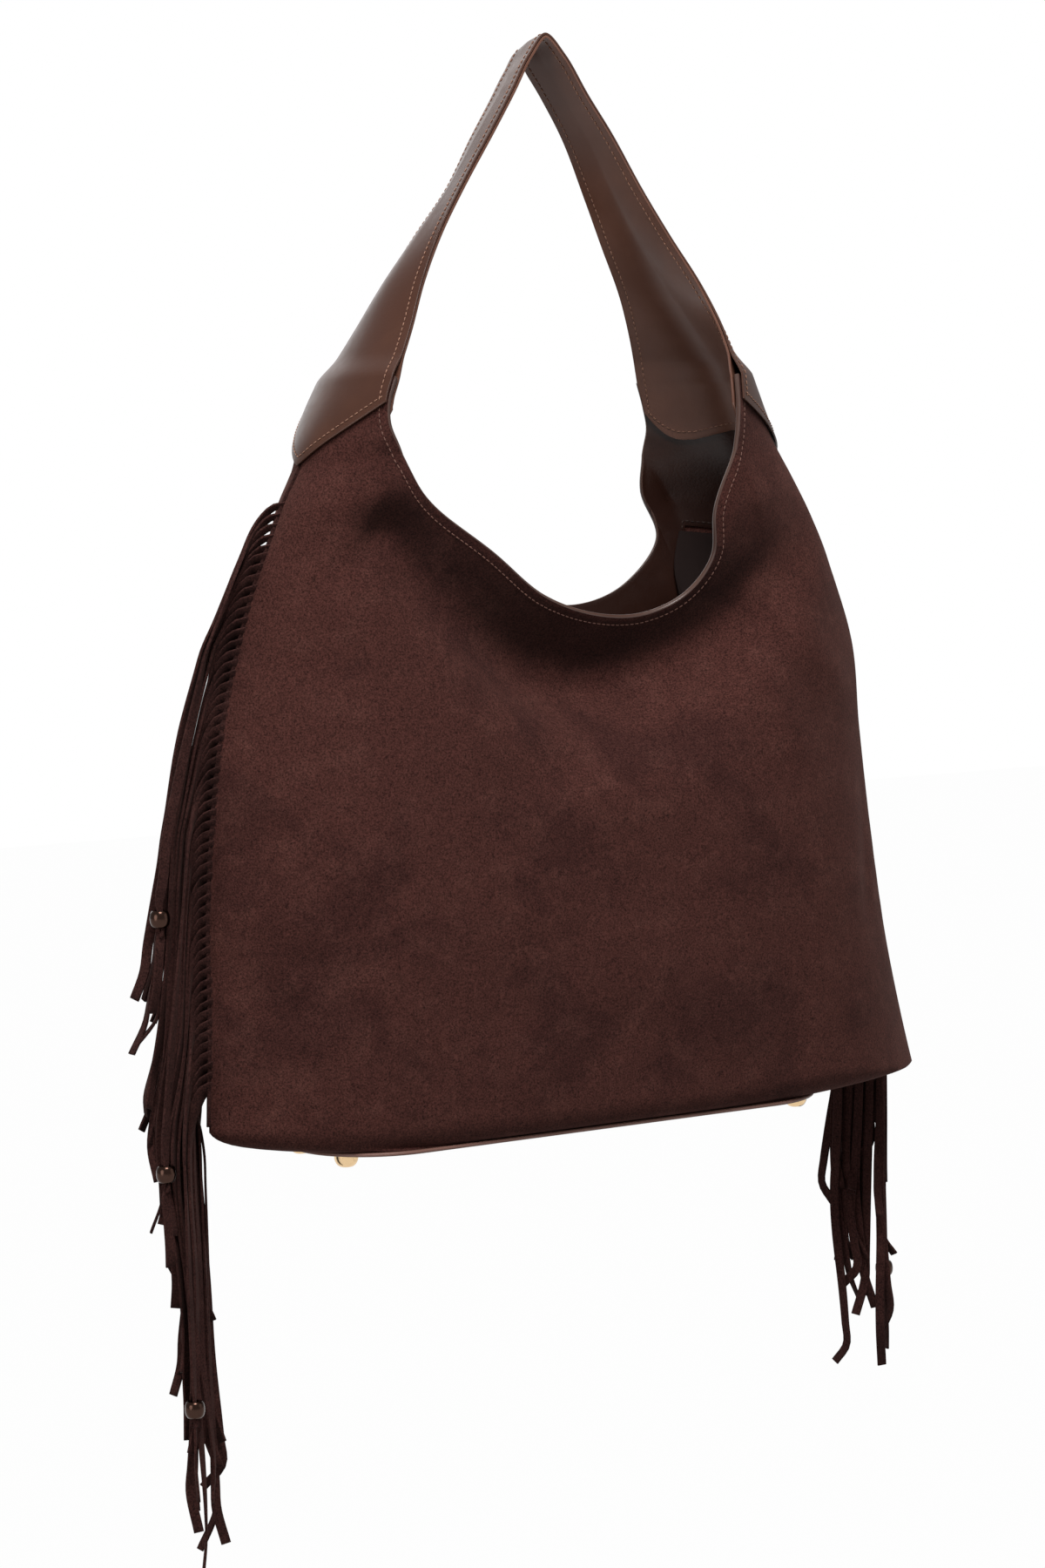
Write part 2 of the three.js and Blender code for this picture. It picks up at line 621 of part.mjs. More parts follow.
// A repeatable number from -0.5 to 0.5 for strand i
function uneven(i) {
  const value = Math.sin(i * SCATTER.step + SCATTER.start) * SCATTER.spread;
  return value - Math.floor(value) - 0.5;
}

// Outward axis of a fringe and the axis across it, both level
function fringeAxes(side) {
  const lean = (side.lean * Math.PI) / 180;
  return {
    out: new THREE.Vector3(side.sign * Math.cos(lean), Math.sin(lean), 0),
    across: new THREE.Vector3(side.sign * Math.sin(lean), -Math.cos(lean), 0),
  };
}

// Seam distance as the hanging strands see it: straight between shared levels
function hangX(end, z) {
  const level = Math.max(HANG_LEVELS[HANG_LEVELS.length - 1], z);
  let i = 0;
  while (i < HANG_LEVELS.length - 2 && level < HANG_LEVELS[i + 1]) i += 1;
  const t = (HANG_LEVELS[i] - level) / (HANG_LEVELS[i] - HANG_LEVELS[i + 1]);
  return mix(seamX(end, HANG_LEVELS[i]), seamX(end, HANG_LEVELS[i + 1]), t);
}

// Everything that places strand i of one side: its root height, lane, and path by height
function strandPlan(end, i) {
  const side = FRINGE_SIDES[end];
  const { out, across } = fringeAxes(side);
  const f = i / (FRINGE.count - 1);
  const root = mix(FRINGE.top, FRINGE.low, f);
  const beaded = side.beaded.includes(i);
  const [lane, drawn] = beaded ? [side.lane, 0] : LANES[i % LANES.length];
  const apart = beaded ? mix(side.apart[0], side.apart[1], f) : 0;
  const reach = mix(side.reach[0], side.reach[1], f) - drawn * side.drawn + apart;
  const tip = root - side.drop + FRINGE.uneven * uneven(i);
  const at = (z) => {
    const level = Math.max(FOLD_LEVEL, z);
    const down = (FRINGE.top - level) / (FRINGE.top - FOLD_LEVEL);
    const shift = mix(side.shift[0], side.shift[1], down);
    return new THREE.Vector3(hangX(end, z), 0, z)
      .addScaledVector(out, reach + LAYER_GROWTH * (root - level))
      .addScaledVector(across, lane + shift);
  };
  return { side, out, across, root, tip, beaded, at, bead: tip + BEAD.above };
}

// Cross sections of a strand from its root to its tip: centre, width and thickness directions
function strandRings(end, plan) {
  const { side, out, across, root, tip, at } = plan;
  const down = new THREE.Vector3(0, 0, -1);
  const broad = across.clone().negate();
  const start = new THREE.Vector3(seamX(end, root) + side.sign * HEADER.outside, 0, root);
  const bend = start.clone().addScaledVector(out, RIB.out)
    .add(new THREE.Vector3(side.sign * RIB.beyond, 0, RIB.rise));
  const arch = at(root - RIB.drop);
  const leaving = arch.clone().sub(start).normalize();
  const rings = [
    {
      centre: bend,
      along: leaving,
      width: down.clone().multiplyScalar(RIB.tilt).addScaledVector(broad, RIB.turn),
    },
    { centre: arch, along: leaving.clone().add(down).normalize(), width: broad },
  ];
  const hang = (z, centre, broadness = FRINGE.width, thick = STRIP_THICK) => {
    rings.push({ centre: centre.clone().setZ(z), along: down, width: broad, broadness, thick });
  };
  for (const z of [...HANG_LEVELS, FREE_LEVEL]) {
    const clearOfBead = !plan.beaded || z > plan.bead + BEAD.height + CLEAR.bead;
    if (z < root - CLEAR.root && z > tip + CLEAR.tip && clearOfBead) hang(z, at(z));
  }
  if (plan.beaded) {
    const spot = at(plan.bead);
    const half = BEAD.height / 2;
    const knotTop = plan.bead - half - 2 * LAYER_GAP;
    hang(plan.bead + half + THREADED.from, spot);
    hang(plan.bead + half + THREADED.to, spot, THREADED.width);
    hang(plan.bead - half - LAYER_GAP, spot, THREADED.width);
    hang(knotTop, spot, KNOT.width, KNOT.thick);
    hang(knotTop - KNOT.height, spot, KNOT.width, KNOT.thick);
    hang(knotTop - KNOT.height - KNOT.neck, spot, THREADED.width);
    hang(tip, spot);
  } else {
    hang(tip, at(tip));
  }
  return rings;
}

// One fringe: a header strip along the seam and every strand, as a single cut piece
function fringeStrip(end) {
  const { sign } = FRINGE_SIDES[end];
  const points = [];
  const faces = [];
  const quad = (a, b, c, d) => faces.push([a, b, c], [a, c, d]);
  const pitch = (FRINGE.top - FRINGE.low) / (FRINGE.count - 1);
  const tooth = (pitch - SLIT) / 2;
  const half = STRIP_THICK / 2;
  const cuts = [HEADER.top];
  const plans = [];
  for (let i = 0; i < FRINGE.count; i += 1) {
    plans.push(strandPlan(end, i));
    cuts.push(plans[i].root + tooth, plans[i].root - tooth);
  }
  cuts.push(HEADER.low);
  // Each cut level holds inner near, outer near, outer far and inner far points
  cuts.forEach((z) => {
    const seam = seamX(end, z);
    const inner = seam - sign * HEADER.inside;
    const outer = seam + sign * HEADER.outside;
    const near = sign * half;
    for (const [x, y] of [[inner, near], [outer, near], [outer, -near], [inner, -near]]) {
      points.push(new THREE.Vector3(x, y, z));
    }
  });
  for (let k = 0; k < cuts.length - 1; k += 1) {
    const a = 4 * k;
    const b = a + 4;
    quad(a, a + 1, b + 1, b);
    quad(b + 3, b + 2, a + 2, a + 3);
    quad(a, b, b + 3, a + 3);
    if (k % 2 === 0) quad(a + 1, a + 2, b + 2, b + 1);
  }
  const foot = 4 * (cuts.length - 1);
  quad(0, 3, 2, 1);
  quad(foot, foot + 1, foot + 2, foot + 3);
  plans.forEach((plan, i) => {
    const a = 4 * (2 * i + 1);
    let ring = [a + 1, a + 5, a + 6, a + 2];
    for (const cut of strandRings(end, plan)) {
      const thin = new THREE.Vector3().crossVectors(cut.along, cut.width).normalize();
      const wide = new THREE.Vector3().crossVectors(thin, cut.along).normalize();
      const w = (cut.broadness ?? FRINGE.width) / 2;
      const t = (cut.thick ?? STRIP_THICK) / 2;
      const next = [[-w, t], [w, t], [w, -t], [-w, -t]].map(([u, v]) => {
        points.push(cut.centre.clone().addScaledVector(wide, u).addScaledVector(thin, v));
        return points.length - 1;
      });
      for (let m = 0; m < 4; m += 1) {
        const n = (m + 1) % 4;
        quad(ring[m], next[m], next[n], ring[n]);
      }
      ring = next;
    }
    quad(ring[0], ring[3], ring[2], ring[1]);
  });
  return geometryOf(points, faces);
}

// A bored bead, rounded outside, centred on the strand that carries it
function beadSolid(centre) {
  const profile = [];
  const half = BEAD.height / 2;
  for (let k = 0; k <= BEAD.rings; k += 1) {
    const turn = mix(-1, 1, k / BEAD.rings) * BEAD.turn;
    const r = mix(BEAD.bore + BEAD.lip, BEAD.radius, Math.cos(turn) ** BEAD.crown);
    profile.push([r, (half * Math.sin(turn)) / Math.sin(BEAD.turn)]);
  }
  profile.unshift([BEAD.bore, -half]);
  profile.push([BEAD.bore, half], [BEAD.bore, -half]);
  const bead = turned(profile, RING_SIDES, centre.x, centre.y);
  bead.translate(0, 0, centre.z);
  return bead;
}

function buildFringes() {
  for (const end of ['left', 'right']) {
    addNode(`fringe_${end}`, fringeStrip(end), FRINGE_LOOK);
    FRINGE_SIDES[end].beaded.forEach((i, n) => {
      const plan = strandPlan(end, i);
      addNode(`bead_${end}_${n + 1}`, beadSolid(plan.at(plan.bead).setZ(plan.bead)), BEAD_LOOK);
    });
  }
}

buildPanels();
buildLining();
buildBase();
buildStrap();
buildFringes();

export default group;
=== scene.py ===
"""Fringed suede shoulder bag: the looks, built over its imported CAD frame.

Sizes are in millimetres in the classes and in metres in the meshes. The bag hangs by the crown
of its strap, which is the origin; +X runs along the bag and -Y is its front.
"""

from __future__ import annotations

import logging
import math
import random
from dataclasses import dataclass, field
from enum import Enum

import bmesh
import bpy
import numpy as np
from mathutils import Matrix, Vector, noise

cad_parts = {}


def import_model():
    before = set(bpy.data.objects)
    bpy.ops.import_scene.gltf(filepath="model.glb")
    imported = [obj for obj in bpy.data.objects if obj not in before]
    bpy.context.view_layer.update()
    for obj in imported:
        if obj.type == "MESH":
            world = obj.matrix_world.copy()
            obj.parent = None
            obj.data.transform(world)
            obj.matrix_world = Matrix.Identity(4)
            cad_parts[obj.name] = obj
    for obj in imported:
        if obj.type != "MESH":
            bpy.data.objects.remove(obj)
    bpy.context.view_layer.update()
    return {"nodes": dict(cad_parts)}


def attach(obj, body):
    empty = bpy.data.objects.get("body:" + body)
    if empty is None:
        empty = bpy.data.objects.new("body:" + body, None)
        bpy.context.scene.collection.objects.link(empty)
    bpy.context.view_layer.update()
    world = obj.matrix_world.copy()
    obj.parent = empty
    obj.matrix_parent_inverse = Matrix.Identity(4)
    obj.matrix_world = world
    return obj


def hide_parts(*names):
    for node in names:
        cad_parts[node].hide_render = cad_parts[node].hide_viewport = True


LOG = logging.getLogger("fringed_bag")
MM = 0.001


class Face(Enum):
    """The two broad sides of the bag."""

    FRONT = -1
    BACK = 1


class End(Enum):
    """The two ends of the bag, named as the front is seen."""

    LEFT = -1
    RIGHT = 1


# ---- small numeric helpers ----


def mix(a: np.ndarray | float, b: np.ndarray | float, t: np.ndarray | float) -> np.ndarray | float:
    """Blend from a to b by t."""
    return a + (b - a) * t


def smooth(t: np.ndarray | float) -> np.ndarray | float:
    """Ease from 0 to 1 as t goes from 0 to 1."""
    t = np.clip(t, 0.0, 1.0)
    return t * t * (3.0 - 2.0 * t)


class Profile:
    """A smooth curve through values given at falling levels."""

    def __init__(self, levels: list[float], values: list[float]) -> None:
        """Tabulate the curve finely.

        Args:
            levels: Heights, highest first.
            values: One value for each height.
        """
        lv = np.array(levels[::-1], float)
        vv = np.array(values[::-1], float)
        slope = np.empty_like(vv)
        slope[1:-1] = (vv[2:] - vv[:-2]) / (lv[2:] - lv[:-2])
        slope[0] = (vv[1] - vv[0]) / (lv[1] - lv[0])
        slope[-1] = (vv[-1] - vv[-2]) / (lv[-1] - lv[-2])
        self._z = np.arange(lv[0], lv[-1] + 0.2, 0.25)
        i = np.clip(np.searchsorted(lv, self._z, "right") - 1, 0, len(lv) - 2)
        span = lv[i + 1] - lv[i]
        t = np.clip((self._z - lv[i]) / span, 0.0, 1.0)
        h = 3 * t**2 - 2 * t**3
        rise = span * (t * (1 - t) ** 2 * slope[i] - t * t * (1 - t) * slope[i + 1])
        self._v = mix(vv[i], vv[i + 1], h) + rise

    def at(self, z: np.ndarray | float) -> np.ndarray:
        """Read the curve at one or more heights."""
        return np.interp(z, self._z, self._v)


def through(points: list[tuple[float, ...]], t: np.ndarray) -> np.ndarray:
    """Read a centripetal curve through points, evenly by station.

    Args:
        points: The stations.
        t: Where to read, 0 at the first station and 1 at the last.

    Returns:
        One row for each t.
    """
    p = np.array(points, float)
    p = np.vstack([2 * p[0] - p[1], p, 2 * p[-1] - p[-2]])
    run = np.clip(np.asarray(t, float), 0, 1) * (len(p) - 3)
    i = np.minimum(run.astype(int), len(p) - 4)
    w = (run - i)[:, None]
    a, b, c, d = p[i], p[i + 1], p[i + 2], p[i + 3]
    d0, d1, d2 = (np.sqrt(np.linalg.norm(v - u, axis=1))[:, None] for u, v in ((a, b), (b, c), (c, d)))
    t1 = ((b - a) / d0 - (c - a) / (d0 + d1) + (c - b) / d1) * d1
    t2 = ((c - b) / d1 - (d - b) / (d1 + d2) + (d - c) / d2) * d1
    return b + t1 * w + (-3 * b + 3 * c - 2 * t1 - t2) * w**2 + (2 * b - 2 * c + t1 + t2) * w**3


def even(points: np.ndarray, count: int) -> np.ndarray:
    """Resample a polyline so that its points are evenly spaced."""
    run = np.concatenate([[0], np.cumsum(np.linalg.norm(np.diff(points, axis=0), axis=1))])
    want = np.linspace(0, run[-1], count)
    return np.stack([np.interp(want, run, points[:, k]) for k in range(points.shape[1])], axis=1)


def grid_normals(grid: np.ndarray) -> np.ndarray:
    """Unit normals of a grid of points, along rows crossed with columns."""
    along = np.gradient(grid, axis=1)
    up = np.gradient(grid, axis=0)
    n = np.cross(along, up)
    return n / np.maximum(np.linalg.norm(n, axis=2, keepdims=True), 1e-9)


# ---- mesh helpers ----


def deselect() -> None:
    """Leave edit mode and select nothing."""
    if bpy.context.object and bpy.context.object.mode != "OBJECT":
        bpy.ops.object.mode_set(mode="OBJECT")
    bpy.ops.object.select_all(action="DESELECT")


def activate(piece: bpy.types.Object) -> bpy.types.Object:
    """Select one piece alone and make it active."""
    deselect()
    piece.select_set(True)
    bpy.context.view_layer.objects.active = piece
    return piece


def mesh_piece(
    name: str,
    points: np.ndarray,
    faces: list[tuple[int, ...]],
    maps: np.ndarray | None = None,
    merge: float = 0.0,
) -> bpy.types.Object:
    """Make a piece from points in millimetres.

    Args:
        name: The piece's name.
        points: One row for each point.
        faces: Point numbers of each face.
        maps: Map coordinates of each point, in metres.
        merge: Points closer than this many millimetres become one.

    Returns:
        The new piece.
    """
    mesh = bpy.data.meshes.new(name)
    mesh.from_pydata((np.asarray(points) * MM).tolist(), [], faces)
    if maps is not None:
        layer = mesh.uv_layers.new(name="cloth")
        loops = np.empty(len(mesh.loops), dtype=np.int32)
        mesh.loops.foreach_get("vertex_index", loops)
        layer.data.foreach_set("uv", np.asarray(maps, float)[loops].ravel())
    piece = bpy.data.objects.new(name, mesh)
    bpy.context.scene.collection.objects.link(piece)
    if merge:
        work = bmesh.new()
        work.from_mesh(mesh)
        bmesh.ops.remove_doubles(work, verts=work.verts, dist=merge * MM)
        work.to_mesh(mesh)
        work.free()
    mesh.update()
    return piece


def grid_faces(rows: int, columns: int, start: int = 0, flip: bool = False) -> list[tuple[int, ...]]:
    """Four-cornered faces of a grid stored row by row."""
    faces = []
    for j in range(rows - 1):
        for i in range(columns - 1):
            a = start + j * columns + i
            cell = (a, a + 1, a + columns + 1, a + columns)
            faces.append(cell[::-1] if flip else cell)
    return faces


def apply_modifiers(piece: bpy.types.Object) -> None:
    """Apply every modifier of a piece, in order."""
    activate(piece)
    for modifier in list(piece.modifiers):
        bpy.ops.object.modifier_apply(modifier=modifier.name)


def thicken(
    piece: bpy.types.Object, thick: float, offset: float = -1.0, rim: int = 0, soften: float = 0.0, even_wall: bool = True
) -> None:
    """Give a sheet its thickness, and round its cut edge.

    Args:
        piece: The sheet, one face thick.
        thick: Thickness in millimetres.
        offset: -1 grows inward and 1 outward.
        rim: How many slots further on the cut edge takes its finish.
        soften: Rounding of the cut edge, in millimetres.
        even_wall: Keep the wall even round bends; off where a sheet has sharp corners.
    """
    solid = piece.modifiers.new("thickness", "SOLIDIFY")
    solid.thickness = thick * MM
    solid.offset = offset
    solid.use_even_offset = even_wall
    solid.material_offset_rim = rim
    if soften:
        bevel = piece.modifiers.new("edge", "BEVEL")
        bevel.width = soften * MM
        bevel.segments = 2
        bevel.limit_method = "ANGLE"
        bevel.angle_limit = math.radians(60)
    apply_modifiers(piece)


def shade(piece: bpy.types.Object, angle: float = 50.0) -> None:
    """Shade a piece smooth, with edges kept above an angle."""
    activate(piece)
    bpy.ops.object.shade_smooth_by_angle(angle=math.radians(angle))
    deselect()


def wear(piece: bpy.types.Object, *finishes: bpy.types.Material) -> None:
    """Give a piece its materials, first slot first, keeping the slot of each face."""
    slots = [p.material_index for p in piece.data.polygons]
    piece.data.materials.clear()
    for finish in finishes:
        piece.data.materials.append(finish)
    piece.data.polygons.foreach_set("material_index", slots)


def paint_downward_shade(piece: bpy.types.Object) -> None:
    """Store painted shade at each point: strong where the cloth faces downward, weaker near its lowest edge."""
    mesh = piece.data
    slope, place = np.empty(len(mesh.vertices) * 3), np.empty(len(mesh.vertices) * 3)
    mesh.vertices.foreach_get("normal", slope)
    mesh.vertices.foreach_get("co", place)
    level = place.reshape(-1, 3)[:, 2]
    # painted shade: grows as the surface turns to face downward
    painted_shade_amount = smooth((-slope.reshape(-1, 3)[:, 2] - 0.04) / 0.5)
    painted_shade_amount *= 0.35 + 0.65 * smooth((level - level.min() - 0.012) / 0.03)
    mesh.attributes.new("lay", "FLOAT", "POINT").data.foreach_set("value", painted_shade_amount.astype(np.float32))


def settle(piece: bpy.types.Object, slot: str, *nodes: str) -> bpy.types.Object:
    """Hang a finished piece on the frame's root and hide the CAD nodes it stands for.

    Args:
        piece: The finished piece.
        slot: The name of the record's material slot; only written to the log.
        nodes: CAD nodes that it stands for.

    Returns:
        The same piece.
    """
    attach(piece, "root")
    if nodes:
        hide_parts(*nodes)
    LOG.info("%s: %d faces, slot %s", piece.name, len(piece.data.polygons), slot)
    return piece


def sweep(name: str, path: np.ndarray, side: np.ndarray, up: np.ndarray, section: np.ndarray) -> bpy.types.Object:
    """Sweep a closed section along a path.

    Args:
        name: The piece's name.
        path: Points of the path.
        side: The section's first axis at each point.
        up: The section's second axis at each point.
        section: Points of the section as two numbers each.

    Returns:
        A closed tube with flat ends.
    """
    count = len(section)
    points = (
        path[:, None, :]
        + side[:, None, :] * section[None, :, 0:1]
        + up[:, None, :] * section[None, :, 1:2]
    ).reshape(-1, 3)
    faces = []
    for j in range(len(path) - 1):
        for i in range(count):
            a = j * count + i
            b = j * count + (i + 1) % count
            faces.append((a, b, b + count, a + count))
    faces.append(tuple(range(count))[::-1])
    faces.append(tuple((len(path) - 1) * count + i for i in range(count)))
    piece = mesh_piece(name, points, faces)
    outward(piece)
    return piece


def outward(piece: bpy.types.Object) -> None:
    """Point every face of a closed piece outwards."""
    work = bmesh.new()
    work.from_mesh(piece.data)
    bmesh.ops.recalc_face_normals(work, faces=work.faces)
    work.to_mesh(piece.data)
    work.free()


# ---- the hung shape ----


@dataclass
class HungShape:
    """The surface of the hung body: level sections, mouth, horns and relief."""

    fold_level: float = -538.0
    seam_gap: float = 1.0
    foot_level: float = -550.1
    edge_band: float = 20.0
    facing_drop: float = 45.0
    yoke_seam: float = -221.0
    yoke_edge: float = -209.0
    horn_top: float = -170.0
    horn_share: float = 4 / 26
    corner_power: float = 4.5
    shoulders: dict[End, float] = field(default_factory=lambda: {End.LEFT: 0.78, End.RIGHT: 0.65})
    base_centre: float = -8.0
    base_length: float = 300.0
    base_depth: float = 100.0
    base_corner: float = 45.0
    suede_inset: float = 2.0

    def __post_init__(self) -> None:
        """Tabulate the sections and the mouth."""
        rows = [
            (-170, 120, 120, 41, 1), (-200, 137, 134, 46, 1), (-214, 142, 143, 46, 1),
            (-229, 150.5, 153, 46, 0.9), (-246, 158, 164, 46, 0.5), (-273, 169.5, 176.5, 46, 0.15),
            (-314, 182.5, 189.5, 47, 0), (-358, 192.5, 192.5, 51, 0), (-427, 200.5, 199.5, 57, 0),
            (-479, 202, 207, 58, 0), (-538, 205, 222, 57, 0),
        ]
        levels = [r[0] for r in rows]
        self._side = {e: Profile(levels, [r[1 if e is End.LEFT else 2] for r in rows]) for e in End}
        self._depth = Profile(levels, [r[3] for r in rows])
        self._round = Profile(levels, [r[4] for r in rows])
        edges = [-170, -183, -195, -209]
        free = {
            (Face.FRONT, End.LEFT): [-108, -114, -113.5, -108],
            (Face.FRONT, End.RIGHT): [88, 91, 93, 94],
            (Face.BACK, End.LEFT): [-107, -112, -111, -106],
            (Face.BACK, End.RIGHT): [88, 91, 88, 83],
        }
        self._free = {k: Profile(edges, v[::-1]) for k, v in free.items()}
        mouths = {
            Face.FRONT: [(-108, -209), (-95, -229), (-56, -258), (-24, -281), (9, -292), (40, -293),
                         (64, -283), (76, -265), (75, -240), (88, -209)],
            Face.BACK: [(-107, -209), (-90, -226), (-50, -252), (-20, -272), (10, -284.5), (40, -288),
                        (70, -278), (93, -253), (86, -228), (88, -209)],
        }
        self._mouth = {f: even(through(m, np.linspace(0, 1, 900)), 600) for f, m in mouths.items()}
        self.hollow = {"x": 15, "z": -326, "rise": 0.0043, "reach": 105, "above": 37, "below": 29}
        self.hollow_depth = {Face.FRONT: 37, Face.BACK: 16}
        self.folds = {
            Face.FRONT: [
                ((-126, -208), (-180, -266), 4.5, 9), ((-158, -224), (-176, -258), -4, 6),
                ((-108, -240), (-140, -268), -4, 9), ((-186, -299), (-157, -314), -3, 12),
                ((104, -316), (122, -372), 3, 15), ((112, -285), (168, -338), 3.5, 14),
                ((190, -380), (177, -452), -5, 8), ((-200, -424), (-170, -456), -3.5, 9),
                ((-192, -452), (-172, -486), -4, 8), ((-150, -420), (-172, -500), -3, 14),
                ((60, -352), (-60, -372), -2.5, 13), ((-20, -440), (70, -505), 2, 22),
            ],
            Face.BACK: [((-70, -330), (-150, -420), 3, 16), ((80, -320), (150, -440), 3, 18)],
        }

    def seam(self, end: End, z: np.ndarray | float) -> np.ndarray:
        """X of a side seam at height z."""
        return end.value * self._side[end].at(z)

    def depth(self, z: np.ndarray | float) -> np.ndarray:
        """Half depth of the body at height z."""
        return self._depth.at(z)

    def mouth(self, face: Face, t: np.ndarray) -> np.ndarray:
        """X and z of a mouth edge, t from the left horn to the right horn."""
        table = self._mouth[face]
        run = np.linspace(0, 1, len(table))
        return np.stack([np.interp(t, run, table[:, k]) for k in (0, 1)], axis=-1)

    def relief(self, face: Face, x: np.ndarray, z: np.ndarray) -> np.ndarray:
        """How far folds and the hollow under the mouth lift a panel."""
        h = self.hollow
        floor = h["z"] + h["rise"] * (x - h["x"]) ** 2
        spread = np.where(z > floor, h["above"], h["below"])
        dip = self.hollow_depth[face] * np.exp(-(((x - h["x"]) / h["reach"]) ** 2))
        total = -dip * np.exp(-(((z - floor) / spread) ** 2))
        for (ax, az), (bx, bz), lift, width in self.folds[face]:
            dx, dz = bx - ax, bz - az
            along = ((x - ax) * dx + (z - az) * dz) / (dx * dx + dz * dz)
            off = np.abs((x - ax) * dz - (z - az) * dx) / math.hypot(dx, dz)
            taper = smooth((along + 0.25) / 0.45) * smooth((1.25 - along) / 0.45)
            total = total + lift * taper * np.exp(-((off / width) ** 2))
        return total

    def body(self, face: Face, s: np.ndarray, z: np.ndarray, inset: float | np.ndarray = 0.0) -> np.ndarray:
        """Points of the body.

        Args:
            face: Front or back.
            s: -1 at the left seam to 1 at the right seam.
            z: Heights.
            inset: How far inside the skin the points lie.

        Returns:
            Points, one for each s and z.
        """
        left = self.seam(End.LEFT, z) + inset * 2.5
        right = self.seam(End.RIGHT, z) - inset * 2.5
        x = (left + right) / 2 + s * (right - left) / 2
        reach = np.minimum(1, np.abs(s))
        shoulder = np.where(s < 0, self.shoulders[End.LEFT], self.shoulders[End.RIGHT])
        rounding = self._round.at(z)
        rounded = np.sqrt(np.minimum(1, (1 - reach) / (1 - shoulder)))
        pillow = 1 - reach**self.corner_power
        shape = rounding * rounded + (1 - rounding) * pillow
        gap = np.where(np.asarray(inset) > 0, 0.0, self.seam_gap)
        y = gap + (self.depth(z) - gap - inset) * shape + shape * self.relief(face, x, z)
        return np.stack([x, face.value * y, z], axis=-1)

    def horn(self, face: Face, end: End, q: np.ndarray, z: np.ndarray) -> np.ndarray:
        """Points of a horn, q 0 at the seam and 1 at its free edge."""
        edge = self._free[(face, end)].at(z)
        y = mix(self.seam_gap, self.depth(z), q)
        return np.stack([mix(self.seam(end, z), edge, q * q), face.value * y, z], axis=-1)

    def base_outline(self, face: Face, fraction: np.ndarray, inset: float) -> np.ndarray:
        """Half of the base outline, from the middle of the left end to that of the right end."""
        r = self.base_corner - inset
        half_length = self.base_length / 2 - inset
        side = self.base_depth / 2 - inset - r
        arc = math.pi / 2 * r
        total = 2 * (side + arc) + 2 * (half_length - r)
        sign = np.where(fraction <= 0.5, -1, 1)
        run = np.where(fraction <= 0.5, fraction, 1 - fraction) * total
        angle = np.clip((run - side) / r, 0, math.pi / 2)
        x = -half_length + r - r * np.cos(angle) + np.maximum(0, run - side - arc)
        y = np.minimum(run, side) + r * np.sin(angle)
        return np.stack([self.base_centre - sign * x, face.value * y], axis=-1)

    def columns(self, face: Face, u: np.ndarray) -> tuple[np.ndarray, np.ndarray, np.ndarray]:
        """Where panel columns stand and end.

        Args:
            face: Front or back.
            u: 0 at the left seam to 1 at the right seam.

        Returns:
            s on the fold line, s at the top, and z at the top.
        """
        v = 2 * u - 1
        low = 1.5 * v - 0.5 * v**3
        share = self.horn_share
        q = np.minimum(u, 1 - u) / share
        on_horn = q < 1
        t = np.clip((u - share) / (1 - 2 * share), 0, 1)
        edge = self.mouth(face, t)
        z = np.where(on_horn, mix(self.yoke_seam, self.yoke_edge, q), edge[:, 1])
        left = self.horn(face, End.LEFT, np.minimum(q, 1), z)[:, 0]
        right = self.horn(face, End.RIGHT, np.minimum(q, 1), z)[:, 0]
        x = np.where(on_horn, np.where(u < 0.5, left, right), edge[:, 0])
        a, b = self.seam(End.LEFT, z), self.seam(End.RIGHT, z)
        return low, 2 * (x - a) / (b - a) - 1, z

    def panel_grid(self, face: Face, u: np.ndarray, v: np.ndarray) -> np.ndarray:
        """Points of a panel above the fold line, one row for each v."""
        low, top, zt = self.columns(face, u)
        z = mix(self.fold_level, zt[None, :], v[:, None])
        s = np.clip(mix(low[None, :], top[None, :], v[:, None]), -1, 1)
        grid = self.body(face, s, z)
        q = np.minimum(u, 1 - u)[None, :] / self.horn_share
        for end in End:
            mine = (u < 0.5) if end is End.LEFT else (u >= 0.5)
            seam, edge = self.seam(end, z), self._free[(face, end)].at(z)
            f = np.clip((grid[..., 0] - seam) / (edge - seam), 0, 1)
            y = face.value * mix(self.seam_gap, self.depth(z), np.sqrt(f))
            near = smooth((z - zt[None, :] + 30) / 30) * (1 - smooth((q - 1) / 0.7)) * mine[None, :]
            grid[..., 1] = mix(grid[..., 1], y, near)
        return grid


# ---- finishes ----

Colour = tuple[float, float, float]


def tone(red: int, green: int, blue: int) -> Colour:
    """A colour as it is seen, turned into the linear numbers that a shader takes."""
    parts = [c / 255 for c in (red, green, blue)]
    return tuple(c / 12.92 if c <= 0.04045 else ((c + 0.055) / 1.055) ** 2.4 for c in parts)


